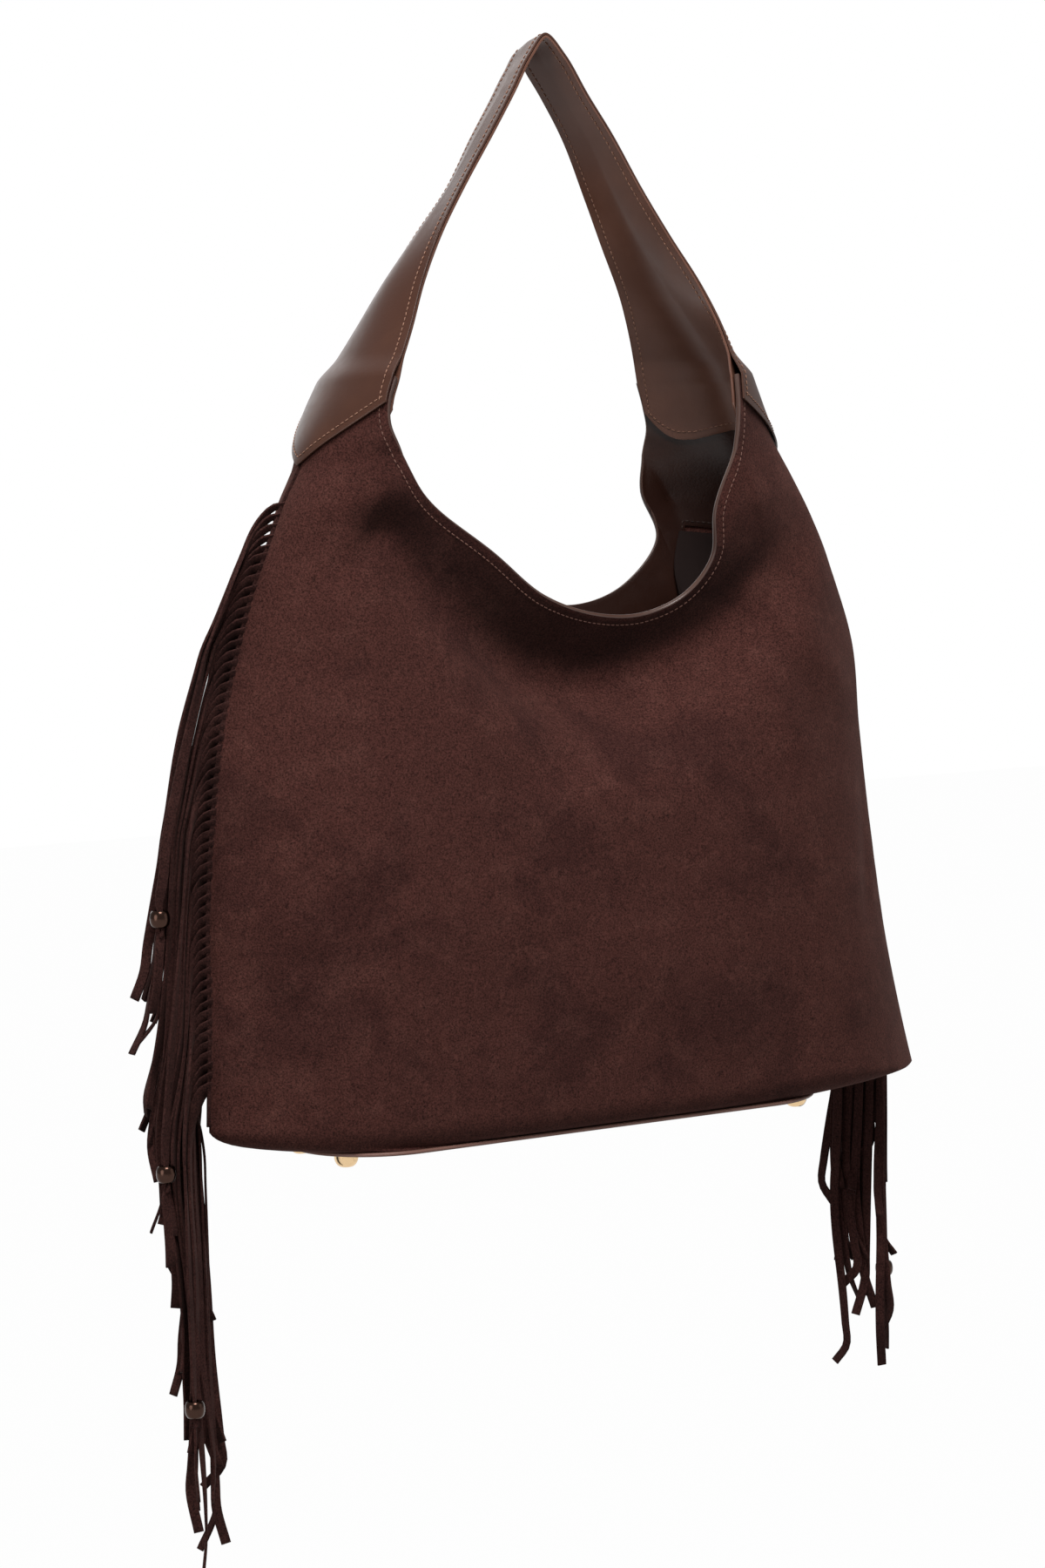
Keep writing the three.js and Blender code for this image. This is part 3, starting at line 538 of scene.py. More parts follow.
class Graph:
    """A node tree with short calls to add and join nodes."""

    def __init__(self, tree: bpy.types.NodeTree) -> None:
        """Start on an empty tree."""
        self.tree = tree
        tree.nodes.clear()

    def add(self, kind: str, values: dict[str, object] | None = None, **settings: object) -> bpy.types.Node:
        """Add a node.

        Args:
            kind: The node's type, without its ShaderNode prefix.
            values: Values or sockets for its inputs, by name or number.
            settings: The node's own properties.

        Returns:
            The node.
        """
        prefix = "" if kind.startswith("NodeGroup") else "ShaderNode"
        node = self.tree.nodes.new(prefix + kind)
        for key, value in settings.items():
            setattr(node, key, value)
        for key, value in (values or {}).items():
            socket = node.inputs[key]
            if isinstance(value, bpy.types.NodeSocket):
                self.tree.links.new(value, socket)
            elif isinstance(value, tuple) and len(value) == 3 and socket.type == "RGBA":
                socket.default_value = (*value, 1.0)
            else:
                socket.default_value = value
        return node

    def blend(self, a: object, b: object, factor: object, mode: str = "MIX") -> bpy.types.NodeSocket:
        """Blend two colours."""
        node = self.add("Mix", data_type="RGBA", blend_type=mode)
        for socket, value in ((node.inputs[0], factor), (node.inputs[6], a), (node.inputs[7], b)):
            if isinstance(value, bpy.types.NodeSocket):
                self.tree.links.new(value, socket)
            else:
                socket.default_value = (*value, 1.0) if isinstance(value, tuple) else value
        return node.outputs[2]

    def ramp(self, value: bpy.types.NodeSocket, low: float, high: float) -> bpy.types.NodeSocket:
        """Spread a value from low..high to 0..1, smoothly."""
        node = self.add("MapRange", {0: value, 1: low, 2: high}, interpolation_type="SMOOTHSTEP")
        return node.outputs[0]

    def sum(self, *parts: tuple[bpy.types.NodeSocket, float]) -> bpy.types.NodeSocket:
        """Add values, each times its own weight."""
        total: object = 0.0
        for value, weight in parts:
            total = self.add("Math", {0: value, 1: weight, 2: total}, operation="MULTIPLY_ADD").outputs[0]
        return total


def effect(name: str, inputs: list[tuple[str, str, object]], outputs: list[tuple[str, str]]) -> tuple[
    bpy.types.NodeTree, Graph, bpy.types.Node, bpy.types.Node
]:
    """Start a shared effect.

    Args:
        name: The effect's name.
        inputs: Name, kind and default of each input.
        outputs: Name and kind of each output.

    Returns:
        The tree, its graph, its input node and its output node.
    """
    tree = bpy.data.node_groups.new(name, "ShaderNodeTree")
    for label, kind, default in inputs:
        socket = tree.interface.new_socket(label, in_out="INPUT", socket_type=f"NodeSocket{kind}")
        socket.default_value = (*default, 1.0) if kind == "Color" else default
    for label, kind in outputs:
        tree.interface.new_socket(label, in_out="OUTPUT", socket_type=f"NodeSocket{kind}")
    graph = Graph(tree)
    return tree, graph, graph.add("NodeGroupInput"), graph.add("NodeGroupOutput")


class Effects:
    """The effects that several finishes share, each built once."""

    def __init__(self) -> None:
        """Build all of them."""
        self.nap = self._nap()
        self.grain = self._grain()
        self.weave = self._weave()

    def _nap(self) -> bpy.types.NodeTree:
        """Napped suede: blotches where the nap lies another way, smudges, and fine fibre."""
        tree, g, given, out = effect(
            "suede nap",
            [("Colour", "Color", (0.1, 0.05, 0.05)), ("Dark", "Color", (0.05, 0.02, 0.02)),
             ("Light", "Color", (0.2, 0.1, 0.1)), ("Blotch", "Float", 1.0), ("Fibre", "Float", 1.0)],
            [("Colour", "Color"), ("Roughness", "Float"), ("Height", "Float")],
        )
        place = g.add("TexCoord").outputs["Object"]
        wide = g.add("TexNoise", {"Vector": place, "Scale": 17.0, "Detail": 7.0, "Roughness": 0.6, "Distortion": 0.4})
        mid = g.add("TexNoise", {"Vector": place, "Scale": 55.0, "Detail": 6.0, "Roughness": 0.68, "Distortion": 0.2})
        small = g.add("TexNoise", {"Vector": place, "Scale": 330.0, "Detail": 3.0, "Roughness": 0.7})
        fine = g.add("TexNoise", {"Vector": place, "Scale": 1050.0, "Detail": 2.0, "Roughness": 0.8})
        blot = g.ramp(wide.outputs[0], 0.47, 0.63)
        smudge = g.ramp(mid.outputs[0], 0.46, 0.7)
        darker = g.add("Math", {0: blot, 1: given.outputs["Blotch"]}, operation="MULTIPLY").outputs[0]
        lighter = g.add("Math", {0: smudge, 1: given.outputs["Blotch"]}, operation="MULTIPLY").outputs[0]
        darker = g.add("Math", {0: darker, 1: 0.68}, operation="MULTIPLY").outputs[0]
        lighter = g.add("Math", {0: lighter, 1: 0.36}, operation="MULTIPLY").outputs[0]
        colour = g.blend(given.outputs["Colour"], given.outputs["Dark"], darker)
        colour = g.blend(colour, given.outputs["Light"], lighter)
        speck = g.sum((small.outputs[0], 0.7), (fine.outputs[0], 3.5))
        speck = g.add("Math", {0: speck, 1: -1.1}, operation="ADD").outputs[0]
        speck = g.add("CombineColor", {0: speck, 1: speck, 2: speck}).outputs[0]
        colour = g.blend(colour, speck, given.outputs["Fibre"], "MULTIPLY")
        rough = g.add("Math", {0: smudge, 1: -0.08, 2: 0.96}, operation="MULTIPLY_ADD").outputs[0]
        height = g.sum((fine.outputs[0], 0.6), (small.outputs[0], 0.5), (mid.outputs[0], 0.6))
        for label, value in (("Colour", colour), ("Roughness", rough), ("Height", height)):
            tree.links.new(value, out.inputs[label])
        return tree

    def _grain(self) -> bpy.types.NodeTree:
        """Smooth leather: fine pebble grain, soft colour drift, and a little uneven gloss."""
        tree, g, given, out = effect(
            "leather grain",
            [("Colour", "Color", (0.1, 0.05, 0.05)), ("Light", "Color", (0.2, 0.1, 0.1)),
             ("Roughness", "Float", 0.45), ("Grain", "Float", 1.0)],
            [("Colour", "Color"), ("Roughness", "Float"), ("Height", "Float")],
        )
        place = g.add("TexCoord").outputs["Object"]
        pebble = g.add("TexVoronoi", {"Vector": place, "Scale": 900.0, "Randomness": 1.0}, feature="SMOOTH_F1")
        drift = g.add("TexNoise", {"Vector": place, "Scale": 26.0, "Detail": 4.0, "Roughness": 0.55})
        crease = g.add("TexNoise", {"Vector": place, "Scale": 140.0, "Detail": 3.0, "Distortion": 0.8})
        pale = g.ramp(drift.outputs[0], 0.42, 0.7)
        colour = g.blend(given.outputs["Colour"], given.outputs["Light"], pale)
        rough = g.add("Math", {0: crease.outputs[0], 1: 0.14, 2: -0.07}, operation="MULTIPLY_ADD").outputs[0]
        rough = g.add("Math", {0: rough, 1: given.outputs["Roughness"]}, operation="ADD").outputs[0]
        height = g.sum((pebble.outputs["Distance"], 0.7), (crease.outputs[0], 0.8))
        height = g.add("Math", {0: height, 1: given.outputs["Grain"]}, operation="MULTIPLY").outputs[0]
        for label, value in (("Colour", colour), ("Roughness", rough), ("Height", height)):
            tree.links.new(value, out.inputs[label])
        return tree

    def _weave(self) -> bpy.types.NodeTree:
        """Plain weave: warp and weft threads, read on the piece's own place."""
        tree, g, given, out = effect(
            "plain weave",
            [("Colour", "Color", (0.1, 0.05, 0.05)), ("Pitch", "Float", 1400.0)],
            [("Colour", "Color"), ("Height", "Float")],
        )
        place = g.add("TexCoord").outputs["Object"]
        threads = []
        for axis in ("X", "Z"):
            wave = g.add("TexWave", {"Vector": place, "Scale": 1.0}, wave_type="BANDS", bands_direction=axis)
            tree.links.new(given.outputs["Pitch"], wave.inputs["Scale"])
            threads.append(wave.outputs["Fac"])
        height = g.add("Math", {0: threads[0], 1: threads[1]}, operation="MAXIMUM").outputs[0]
        slub = g.add("TexNoise", {"Vector": place, "Scale": 60.0, "Detail": 3.0})
        shade_of = g.sum((height, 0.3), (slub.outputs[0], 0.5))
        shade_of = g.add("Math", {0: shade_of, 1: 0.5}, operation="ADD").outputs[0]
        tint = g.add("CombineColor", {0: shade_of, 1: shade_of, 2: shade_of}).outputs[0]
        colour = g.blend(given.outputs["Colour"], tint, 1.0, "MULTIPLY")
        tree.links.new(colour, out.inputs["Colour"])
        tree.links.new(height, out.inputs["Height"])
        return tree


def new_material(name: str) -> tuple[bpy.types.Material, Graph, bpy.types.Node]:
    """Start a material with one Principled shader.

    Args:
        name: The material's name.

    Returns:
        The material, its graph and the shader.
    """
    material = bpy.data.materials.new(name)
    material.use_nodes = True
    g = Graph(material.node_tree)
    shader = g.add("BsdfPrincipled")
    g.add("OutputMaterial", {"Surface": shader.outputs[0]})
    return material, g, shader


def bump(g: Graph, height: bpy.types.NodeSocket, strength: float, depth: float) -> bpy.types.NodeSocket:
    """A normal from a height, depth in millimetres."""
    return g.add("Bump", {"Height": height, "Strength": strength, "Distance": depth * MM}).outputs[0]


@dataclass(frozen=True)
class Suede:
    """Napped suede, with how strongly its blotches and fibre show, and how strongly painted shade darkens it where it
    faces down.
    """

    name: str
    colour: Colour
    dark: Colour
    light: Colour
    blotch: float = 1.0
    fibre: float = 1.0
    sheen: float = 0.1
    # strength of the painted shade, negative to darken where the cloth faces downward
    laid: float = -0.56

    def build(self, effects: Effects) -> bpy.types.Material:
        """Make the material."""
        material, g, shader = new_material(self.name)
        nap = g.add("Group", node_tree=effects.nap)
        for label, value in (("Colour", self.colour), ("Dark", self.dark), ("Light", self.light)):
            nap.inputs[label].default_value = (*value, 1.0)
        nap.inputs["Blotch"].default_value = self.blotch
        nap.inputs["Fibre"].default_value = self.fibre
        # painted shade: darken the base colour by the stored downward-facing amount
        lay = g.add("Attribute", attribute_name="lay", attribute_type="GEOMETRY").outputs["Fac"]
        lay = g.add("Math", {0: lay, 1: self.laid, 2: 1.0}, operation="MULTIPLY_ADD").outputs[0]
        lay = g.add("CombineColor", {0: lay, 1: lay, 2: lay}).outputs[0]
        g.tree.links.new(g.blend(nap.outputs["Colour"], lay, 1.0, "MULTIPLY"), shader.inputs["Base Color"])
        g.tree.links.new(nap.outputs["Roughness"], shader.inputs["Roughness"])
        g.tree.links.new(bump(g, nap.outputs["Height"], 0.5, 0.45), shader.inputs["Normal"])
        shader.inputs["Specular IOR Level"].default_value = 0.12
        shader.inputs["Sheen Weight"].default_value = self.sheen
        shader.inputs["Sheen Roughness"].default_value = 0.5
        shader.inputs["Sheen Tint"].default_value = (0.5, 0.3, 0.26, 1.0)
        return material


@dataclass(frozen=True)
class Leather:
    """Smooth leather."""

    name: str
    colour: Colour
    light: Colour
    roughness: float = 0.42
    grain: float = 1.0
    coat: float = 0.0

    def build(self, effects: Effects) -> bpy.types.Material:
        """Make the material."""
        material, g, shader = new_material(self.name)
        hide = g.add("Group", node_tree=effects.grain)
        hide.inputs["Colour"].default_value = (*self.colour, 1.0)
        hide.inputs["Light"].default_value = (*self.light, 1.0)
        hide.inputs["Roughness"].default_value = self.roughness
        hide.inputs["Grain"].default_value = self.grain
        g.tree.links.new(hide.outputs["Colour"], shader.inputs["Base Color"])
        g.tree.links.new(hide.outputs["Roughness"], shader.inputs["Roughness"])
        g.tree.links.new(bump(g, hide.outputs["Height"], 0.35, 0.18), shader.inputs["Normal"])
        shader.inputs["Specular IOR Level"].default_value = 0.32
        shader.inputs["Coat Weight"].default_value = self.coat
        shader.inputs["Coat Roughness"].default_value = 0.3
        return material


@dataclass(frozen=True)
class Metal:
    """Plated metal with faint handling marks."""

    name: str
    colour: Colour
    roughness: float = 0.2

    def build(self, effects: Effects) -> bpy.types.Material:
        """Make the material."""
        material, g, shader = new_material(self.name)
        place = g.add("TexCoord").outputs["Object"]
        marks = g.add("TexNoise", {"Vector": place, "Scale": 420.0, "Detail": 4.0, "Roughness": 0.65})
        rough = g.add("Math", {0: marks.outputs[0], 1: 0.16, 2: self.roughness - 0.08}, operation="MULTIPLY_ADD")
        dull = tuple(c * 0.72 for c in self.colour)
        tint = g.blend(self.colour, dull, g.ramp(marks.outputs[0], 0.5, 0.8))
        g.tree.links.new(tint, shader.inputs["Base Color"])
        g.tree.links.new(rough.outputs[0], shader.inputs["Roughness"])
        g.tree.links.new(bump(g, marks.outputs[0], 0.12, 0.1), shader.inputs["Normal"])
        shader.inputs["Metallic"].default_value = 1.0
        return material


@dataclass(frozen=True)
class Cloth:
    """Plain woven lining cloth or board."""

    name: str
    colour: Colour
    pitch: float = 1400.0

    def build(self, effects: Effects) -> bpy.types.Material:
        """Make the material."""
        material, g, shader = new_material(self.name)
        weave = g.add("Group", node_tree=effects.weave)
        weave.inputs["Colour"].default_value = (*self.colour, 1.0)
        weave.inputs["Pitch"].default_value = self.pitch
        g.tree.links.new(weave.outputs["Colour"], shader.inputs["Base Color"])
        g.tree.links.new(bump(g, weave.outputs["Height"], 0.4, 0.15), shader.inputs["Normal"])
        shader.inputs["Roughness"].default_value = 0.88
        shader.inputs["Specular IOR Level"].default_value = 0.2
        return material


@dataclass(frozen=True)
class Thread:
    """Waxed sewing thread, with its ply as a fine twist."""

    name: str
    colour: Colour

    def build(self, effects: Effects) -> bpy.types.Material:
        """Make the material."""
        material, g, shader = new_material(self.name)
        place = g.add("TexCoord").outputs["Object"]
        ply = g.add("TexNoise", {"Vector": place, "Scale": 1800.0, "Detail": 2.0})
        dark = tuple(c * 0.6 for c in self.colour)
        tint = g.blend(dark, self.colour, g.ramp(ply.outputs[0], 0.35, 0.6))
        g.tree.links.new(tint, shader.inputs["Base Color"])
        g.tree.links.new(bump(g, ply.outputs[0], 0.3, 0.08), shader.inputs["Normal"])
        shader.inputs["Roughness"].default_value = 0.6
        return material


@dataclass
class Finishes:
    """Every material of the bag."""

    effects: Effects

    def __post_init__(self) -> None:
        """Build each finish once."""
        make = self.effects
        self.suede = Suede("suede", tone(73, 42, 37), tone(55, 30, 27), tone(92, 57, 50)).build(make)
        self.strand = Suede(
            "strand suede", tone(58, 34, 31), tone(43, 24, 22), tone(76, 47, 42), blotch=0.8, sheen=0.08
        ).build(make)
        self.strap = Leather("strap leather", tone(74, 44, 32), tone(82, 50, 36), 0.38, 0.4, 0.0).build(make)
        # strap leather for the inner ply, lifted much lighter: the lift is painted light for a face the lamps leave in
        # shade
        self.strap_under_painted_light = Leather("strap underside", tone(106, 70, 56), tone(116, 78, 63), 0.34, 0.5).build(make)
        self.facing = Leather("facing leather", tone(44, 24, 18), tone(52, 30, 23), 0.32).build(make)
        self.base = Leather("base leather", tone(86, 60, 52), tone(96, 68, 59), 0.44).build(make)
        # base leather painted lighter: a painted highlight on the turned edge, which the suede above shades
        self.base_edge_painted_light = Leather("base edge", tone(124, 90, 80), tone(134, 98, 88), 0.42, 0.3).build(make)
        self.paint = Leather("edge paint", tone(78, 54, 46), tone(90, 66, 57), 0.38, 0.3, 0.15).build(make)
        self.lining = Cloth("lining cloth", tone(38, 26, 24)).build(make)
        self.board = Cloth("base board", tone(90, 74, 60), 700.0).build(make)
        self.thread = Thread("topstitch thread", tone(164, 120, 98)).build(make)
        self.facing_thread = Thread("facing thread", tone(58, 38, 31)).build(make)
        self.mouth_thread = Thread("mouth thread", tone(126, 86, 73)).build(make)
        self.gold = Metal("pale gold plate", tone(232, 200, 156), 0.2).build(make)
        self.bronze = Metal("dark bronze", tone(66, 48, 41), 0.2).build(make)


# ---- suede body ----


@dataclass
class SuedeBody:
    """Front and back suede panels, their facings and the lining."""

    shape: HungShape
    finishes: Finishes
    columns: int = 209
    rows: int = 116
    under_rows: int = 10
    horn_rows: int = 18
    suede: float = 1.2
    droop: float = 9.0
    layer_gap: float = 0.3
    facing: float = 1.0
    lining: float = 0.6
    lining_gap: float = 2.0
    lining_slack: float = 6.0
    lining_floor: float = -544.9
    drape: float = 0.9

    def __post_init__(self) -> None:
        """Lay out the skin of both faces."""
        self.u = np.linspace(0, 1, self.columns)
        self.horn_count = round(self.shape.horn_share * (self.columns - 1)) + 1
        self.skin = {face: self._skin(face) for face in Face}
        self.horns = {(face, end): self._horn(face, end) for face in Face for end in End}

    def _skin(self, face: Face) -> np.ndarray:
        """The panel above the fold, with the small drape of real cloth."""
        grid = self.shape.panel_grid(face, self.u, np.linspace(0, 1, self.rows))
        normals = self.outward_normals(face, grid)
        edge = np.minimum(1, np.minimum(self.u, 1 - self.u) / 0.06)[None, :]
        top = np.minimum(1, (1 - np.linspace(0, 1, self.rows)) / 0.12)[:, None]
        foot = np.minimum(1, np.linspace(0, 1, self.rows) / 0.06)[:, None]
        weight = self.drape * edge * (0.25 + 0.75 * top) * foot
        wave = np.zeros(grid.shape[:2])
        for j in range(grid.shape[0]):
            for i in range(grid.shape[1]):
                x, y, z = grid[j, i]
                at = Vector((x / 62, face.value * 3.1, z / 46))
                wave[j, i] = noise.noise(at) * 1.6 + noise.noise(at * 3.1) * 0.45 + noise.noise(at * 8.0) * 0.14
        grid = grid + normals * (wave * weight)[..., None]
        x, z = grid[..., 0], grid[..., 2]
        grid[..., 2] -= self.droop * smooth((x - 132) / 75) * smooth((-470 - z) / 64)
        return grid

    def _horn(self, face: Face, end: End) -> np.ndarray:
        """One horn above the yoke line, its first row shared with the panel."""
        n = self.horn_count
        q = np.linspace(0, 1, n)
        row = self.skin[face][-1, :n] if end is End.LEFT else self.skin[face][-1, -n:]
        if end is End.RIGHT:
            q = q[::-1]
        yoke = mix(self.shape.yoke_seam, self.shape.yoke_edge, q)
        grid = [row]
        for w in np.linspace(0, 1, self.horn_rows)[1:]:
            grid.append(self.shape.horn(face, end, q, mix(yoke, self.shape.horn_top, w)))
        return np.stack(grid)

    def top_band(self, face: Face, depths: np.ndarray) -> np.ndarray:
        """Points of the panel at given distances below its top edge, one row for each depth."""
        grid = self.skin[face]
        down = grid[::-1]
        run = np.concatenate(
            [np.zeros((1, grid.shape[1])), np.cumsum(np.linalg.norm(np.diff(down, axis=0), axis=2), axis=0)]
        )
        out = np.empty((len(depths), grid.shape[1], 3))
        for i in range(grid.shape[1]):
            for k in range(3):
                out[:, i, k] = np.interp(depths, run[:, i], down[:, i, k])
        return out

    def outward_normals(self, face: Face, grid: np.ndarray) -> np.ndarray:
        """Normals of a grid that point out of the bag."""
        n = grid_normals(grid)
        return n if np.sign(n[..., 1].mean()) == face.value else -n

    def build_panels(self) -> None:
        """The two suede skins, with their lower edges turned under to the base."""
        for face in Face:
            main = self.skin[face]
            outline = self.shape.base_outline(face, self.u, self.shape.suede_inset)
            outline[[0, -1], 1] = face.value * self.shape.seam_gap
            foot = np.column_stack([outline, np.full(self.columns, self.shape.foot_level)])
            bend = mix(foot, main[0], 0.86)
            bend[:, 2] = self.shape.foot_level + 0.8
            t = np.linspace(0, 1, self.under_rows + 1)[:-1, None, None]
            under = (1 - t) ** 2 * foot + 2 * t * (1 - t) * bend + t * t * main[0]
            whole = np.concatenate([under, main])
            points = [whole.reshape(-1, 3)]
            maps = [np.stack([whole[..., 0], whole[..., 2]], -1).reshape(-1, 2) * MM]
            flip = face is Face.BACK
            faces = grid_faces(*whole.shape[:2], flip=flip)
            start = len(points[0])
            for end in End:
                horn = self.horns[(face, end)]
                faces += grid_faces(*horn.shape[:2], start=start, flip=flip)
                points.append(horn.reshape(-1, 3))
                maps.append(np.stack([horn[..., 0], horn[..., 2]], -1).reshape(-1, 2) * MM)
                start += len(points[-1])
            name = f"suede_{face.name.lower()}"
            piece = mesh_piece(name, np.concatenate(points), faces, np.concatenate(maps), merge=0.05)
            thicken(piece, self.suede, even_wall=False)
            # painted shade where the panel faces downward
            paint_downward_shade(piece)
            wear(piece, self.finishes.suede)
            shade(piece, 60)
            settle(piece, "suede", f"{face.name.lower()}_panel")

    def build_facings(self) -> None:
        """The leather facings inside the mouth, with softened cut edges."""
        depths = np.linspace(0, self.shape.facing_drop, 20)
        for face in Face:
            flip = face is Face.BACK
            band = self.top_band(face, depths)[::-1]
            inward = self.suede + self.layer_gap
            grids = [band, self.horns[(face, End.LEFT)], self.horns[(face, End.RIGHT)]]
            points, faces, start = [], [], 0
            for grid in grids:
                moved = grid - self.outward_normals(face, grid) * inward
                faces += grid_faces(*grid.shape[:2], start=start, flip=flip)
                points.append(moved.reshape(-1, 3))
                start += len(points[-1])
            name = f"facing_{face.name.lower()}"
            piece = mesh_piece(name, np.concatenate(points), faces, merge=0.6)
            thicken(piece, self.facing, soften=0.2, even_wall=False)
            wear(piece, self.finishes.facing)
            shade(piece, 50)
            settle(piece, "facing_leather", f"{face.name.lower()}_facing")

    def build_lining(self) -> None:
        """The lining, one slack pouch sewn along the facings."""
        inset = self.suede + self.layer_gap + self.facing + self.lining_gap
        u = np.linspace(0, 1, 105)
        f = np.concatenate([np.linspace(0, 0.16, 8), np.linspace(0.16, 1, 40)[1:]])
        points, faces, start = [], [], 0
        floors = {}
        for face in Face:
            low, top, zt = self.shape.columns(face, u)
            rim = zt - self.shape.facing_drop + 4
            z = mix(rim[None, :], self.shape.fold_level + inset, f[:, None])
            s = mix(low, top, (z - self.shape.fold_level) / (zt - self.shape.fold_level))
            loose = inset + self.lining_slack * smooth(f / 0.16)[:, None] * np.ones_like(z)
            grid = self.shape.body(face, np.clip(s, -1, 1), z, loose)
            folds = np.array([[noise.noise(Vector((a / 40, b / 70, 7.7))) for a, b in zip(r[:, 0], r[:, 2])] for r in grid])
            grid[..., 1] += -face.value * 2.5 * (0.5 + 0.5 * folds) * smooth(f / 0.4)[:, None] * (1 - np.abs(s) ** 6)
            floor = np.column_stack(
                [self.shape.base_outline(face, u, 12), np.full(len(u), self.lining_floor)]
            )
            grid = np.concatenate([grid, floor[None]])
            floors[face] = floor
            faces += grid_faces(*grid.shape[:2], start=start, flip=face is Face.BACK)
            points.append(grid.reshape(-1, 3))
            start += len(points[-1])
        across = np.linspace(0, 1, 14)[:, None, None]
        floor = mix(floors[Face.FRONT][None], floors[Face.BACK][None], across)
        faces += grid_faces(*floor.shape[:2], start=start, flip=True)
        points.append(floor.reshape(-1, 3))
        piece = mesh_piece("lining_pouch", np.concatenate(points), faces, merge=0.05)
        activate(piece)
        bpy.ops.object.mode_set(mode="EDIT")
        bpy.ops.mesh.select_all(action="SELECT")
        bpy.ops.mesh.normals_make_consistent(inside=False)
        bpy.ops.object.mode_set(mode="OBJECT")
        thicken(piece, self.lining, even_wall=False)
        wear(piece, self.finishes.lining)
        shade(piece, 60)
        settle(piece, "lining_cloth", "lining")

    def mouth_path(self, face: Face) -> tuple[np.ndarray, np.ndarray, np.ndarray]:
        """The free edge from the left horn round the mouth to the right horn.

        Returns:
            Points of the edge, outward normals, and the direction away from the cloth.
        """
        n = self.horn_count
        band = self.top_band(face, np.array([0.0, 5.0]))
        left, right = self.horns[(face, End.LEFT)], self.horns[(face, End.RIGHT)]
        edge = np.concatenate([left[::-1, -1][:-1], band[0, n - 1 : -n + 1], right[1:, 0]])
        inner = np.concatenate([left[::-1, -4][:-1], band[1, n - 1 : -n + 1], right[1:, 3]])
        tangent = np.gradient(edge, axis=0)
        tangent /= np.linalg.norm(tangent, axis=1, keepdims=True)
        normal = self.on_cloth(face, edge)[1]
        away = np.cross(tangent, normal)
        away *= np.sign(np.sum(away * (edge - inner), axis=1, keepdims=True))
        away /= np.linalg.norm(away, axis=1, keepdims=True)
        return edge, normal, away

    def on_cloth(self, face: Face, path: np.ndarray) -> tuple[np.ndarray, np.ndarray]:
        """Lay a path on the outer side of a panel.

        Args:
            face: Which panel.
            path: Points near it.

        Returns:
            The points moved onto the panel, and its outward normal at each of them.
        """
        grids = [self.skin[face], self.horns[(face, End.LEFT)], self.horns[(face, End.RIGHT)]]
        p = np.concatenate([grid.reshape(-1, 3) for grid in grids])
        v = np.concatenate([self.outward_normals(face, grid).reshape(-1, 3) for grid in grids])
        near = np.array([np.argmin(((p - q) ** 2).sum(1)) for q in path])
        laid = path - v[near] * np.sum((path - p[near]) * v[near], axis=1, keepdims=True)
        out = v[near].copy()
        for _ in range(4):
            out[1:-1] = (out[:-2] + out[1:-1] + out[2:]) / 3
        return laid, out / np.linalg.norm(out, axis=1, keepdims=True)

    def build_edges(self) -> None:
        """The painted edge that closes suede and facing along the mouth."""
        width = (self.suede + self.layer_gap + self.facing) / 2
        ring = [(width * 1.06 * math.cos(a), 0.55 * math.sin(a)) for a in np.linspace(0, 2 * math.pi, 13)[:-1]]
        for face in Face:
            edge, normal, away = self.mouth_path(face)
            path = edge - normal * width
            piece = sweep(f"mouth_edge_{face.name.lower()}", path, normal, away, np.array(ring))
            wear(piece, self.finishes.paint)
            shade(piece, 70)
            settle(piece, "facing_leather")


# ---- leather base, feet and beads ----


def turned_piece(name: str, profile: list[tuple[float, float]], centre: tuple[float, float, float], steps: int) -> (
    bpy.types.Object
):
    """Spin a closed profile about an upright axis.

    Args:
        name: The piece's name.
        profile: Radius and height of each corner; it closes on the axis or on itself.
        centre: The axis foot, in millimetres.
        steps: Segments of the turn.

    Returns:
        The turned piece.
    """
    points = [(centre[0] + r, centre[1], centre[2] + z) for r, z in profile]
    mesh = bpy.data.meshes.new(name)
    mesh.from_pydata([tuple(c * MM for c in p) for p in points], [(i, i + 1) for i in range(len(points) - 1)], [])
    piece = bpy.data.objects.new(name, mesh)
    bpy.context.scene.collection.objects.link(piece)
    activate(piece)
    bpy.ops.object.mode_set(mode="EDIT")
    bpy.ops.mesh.select_all(action="SELECT")
    bpy.ops.mesh.spin(
        steps=steps, angle=2 * math.pi, center=tuple(c * MM for c in centre), axis=(0, 0, 1), dupli=False
    )
    bpy.ops.mesh.select_all(action="SELECT")
    bpy.ops.mesh.remove_doubles(threshold=0.00001)
    bpy.ops.mesh.normals_make_consistent(inside=False)
    bpy.ops.object.mode_set(mode="OBJECT")
    return piece


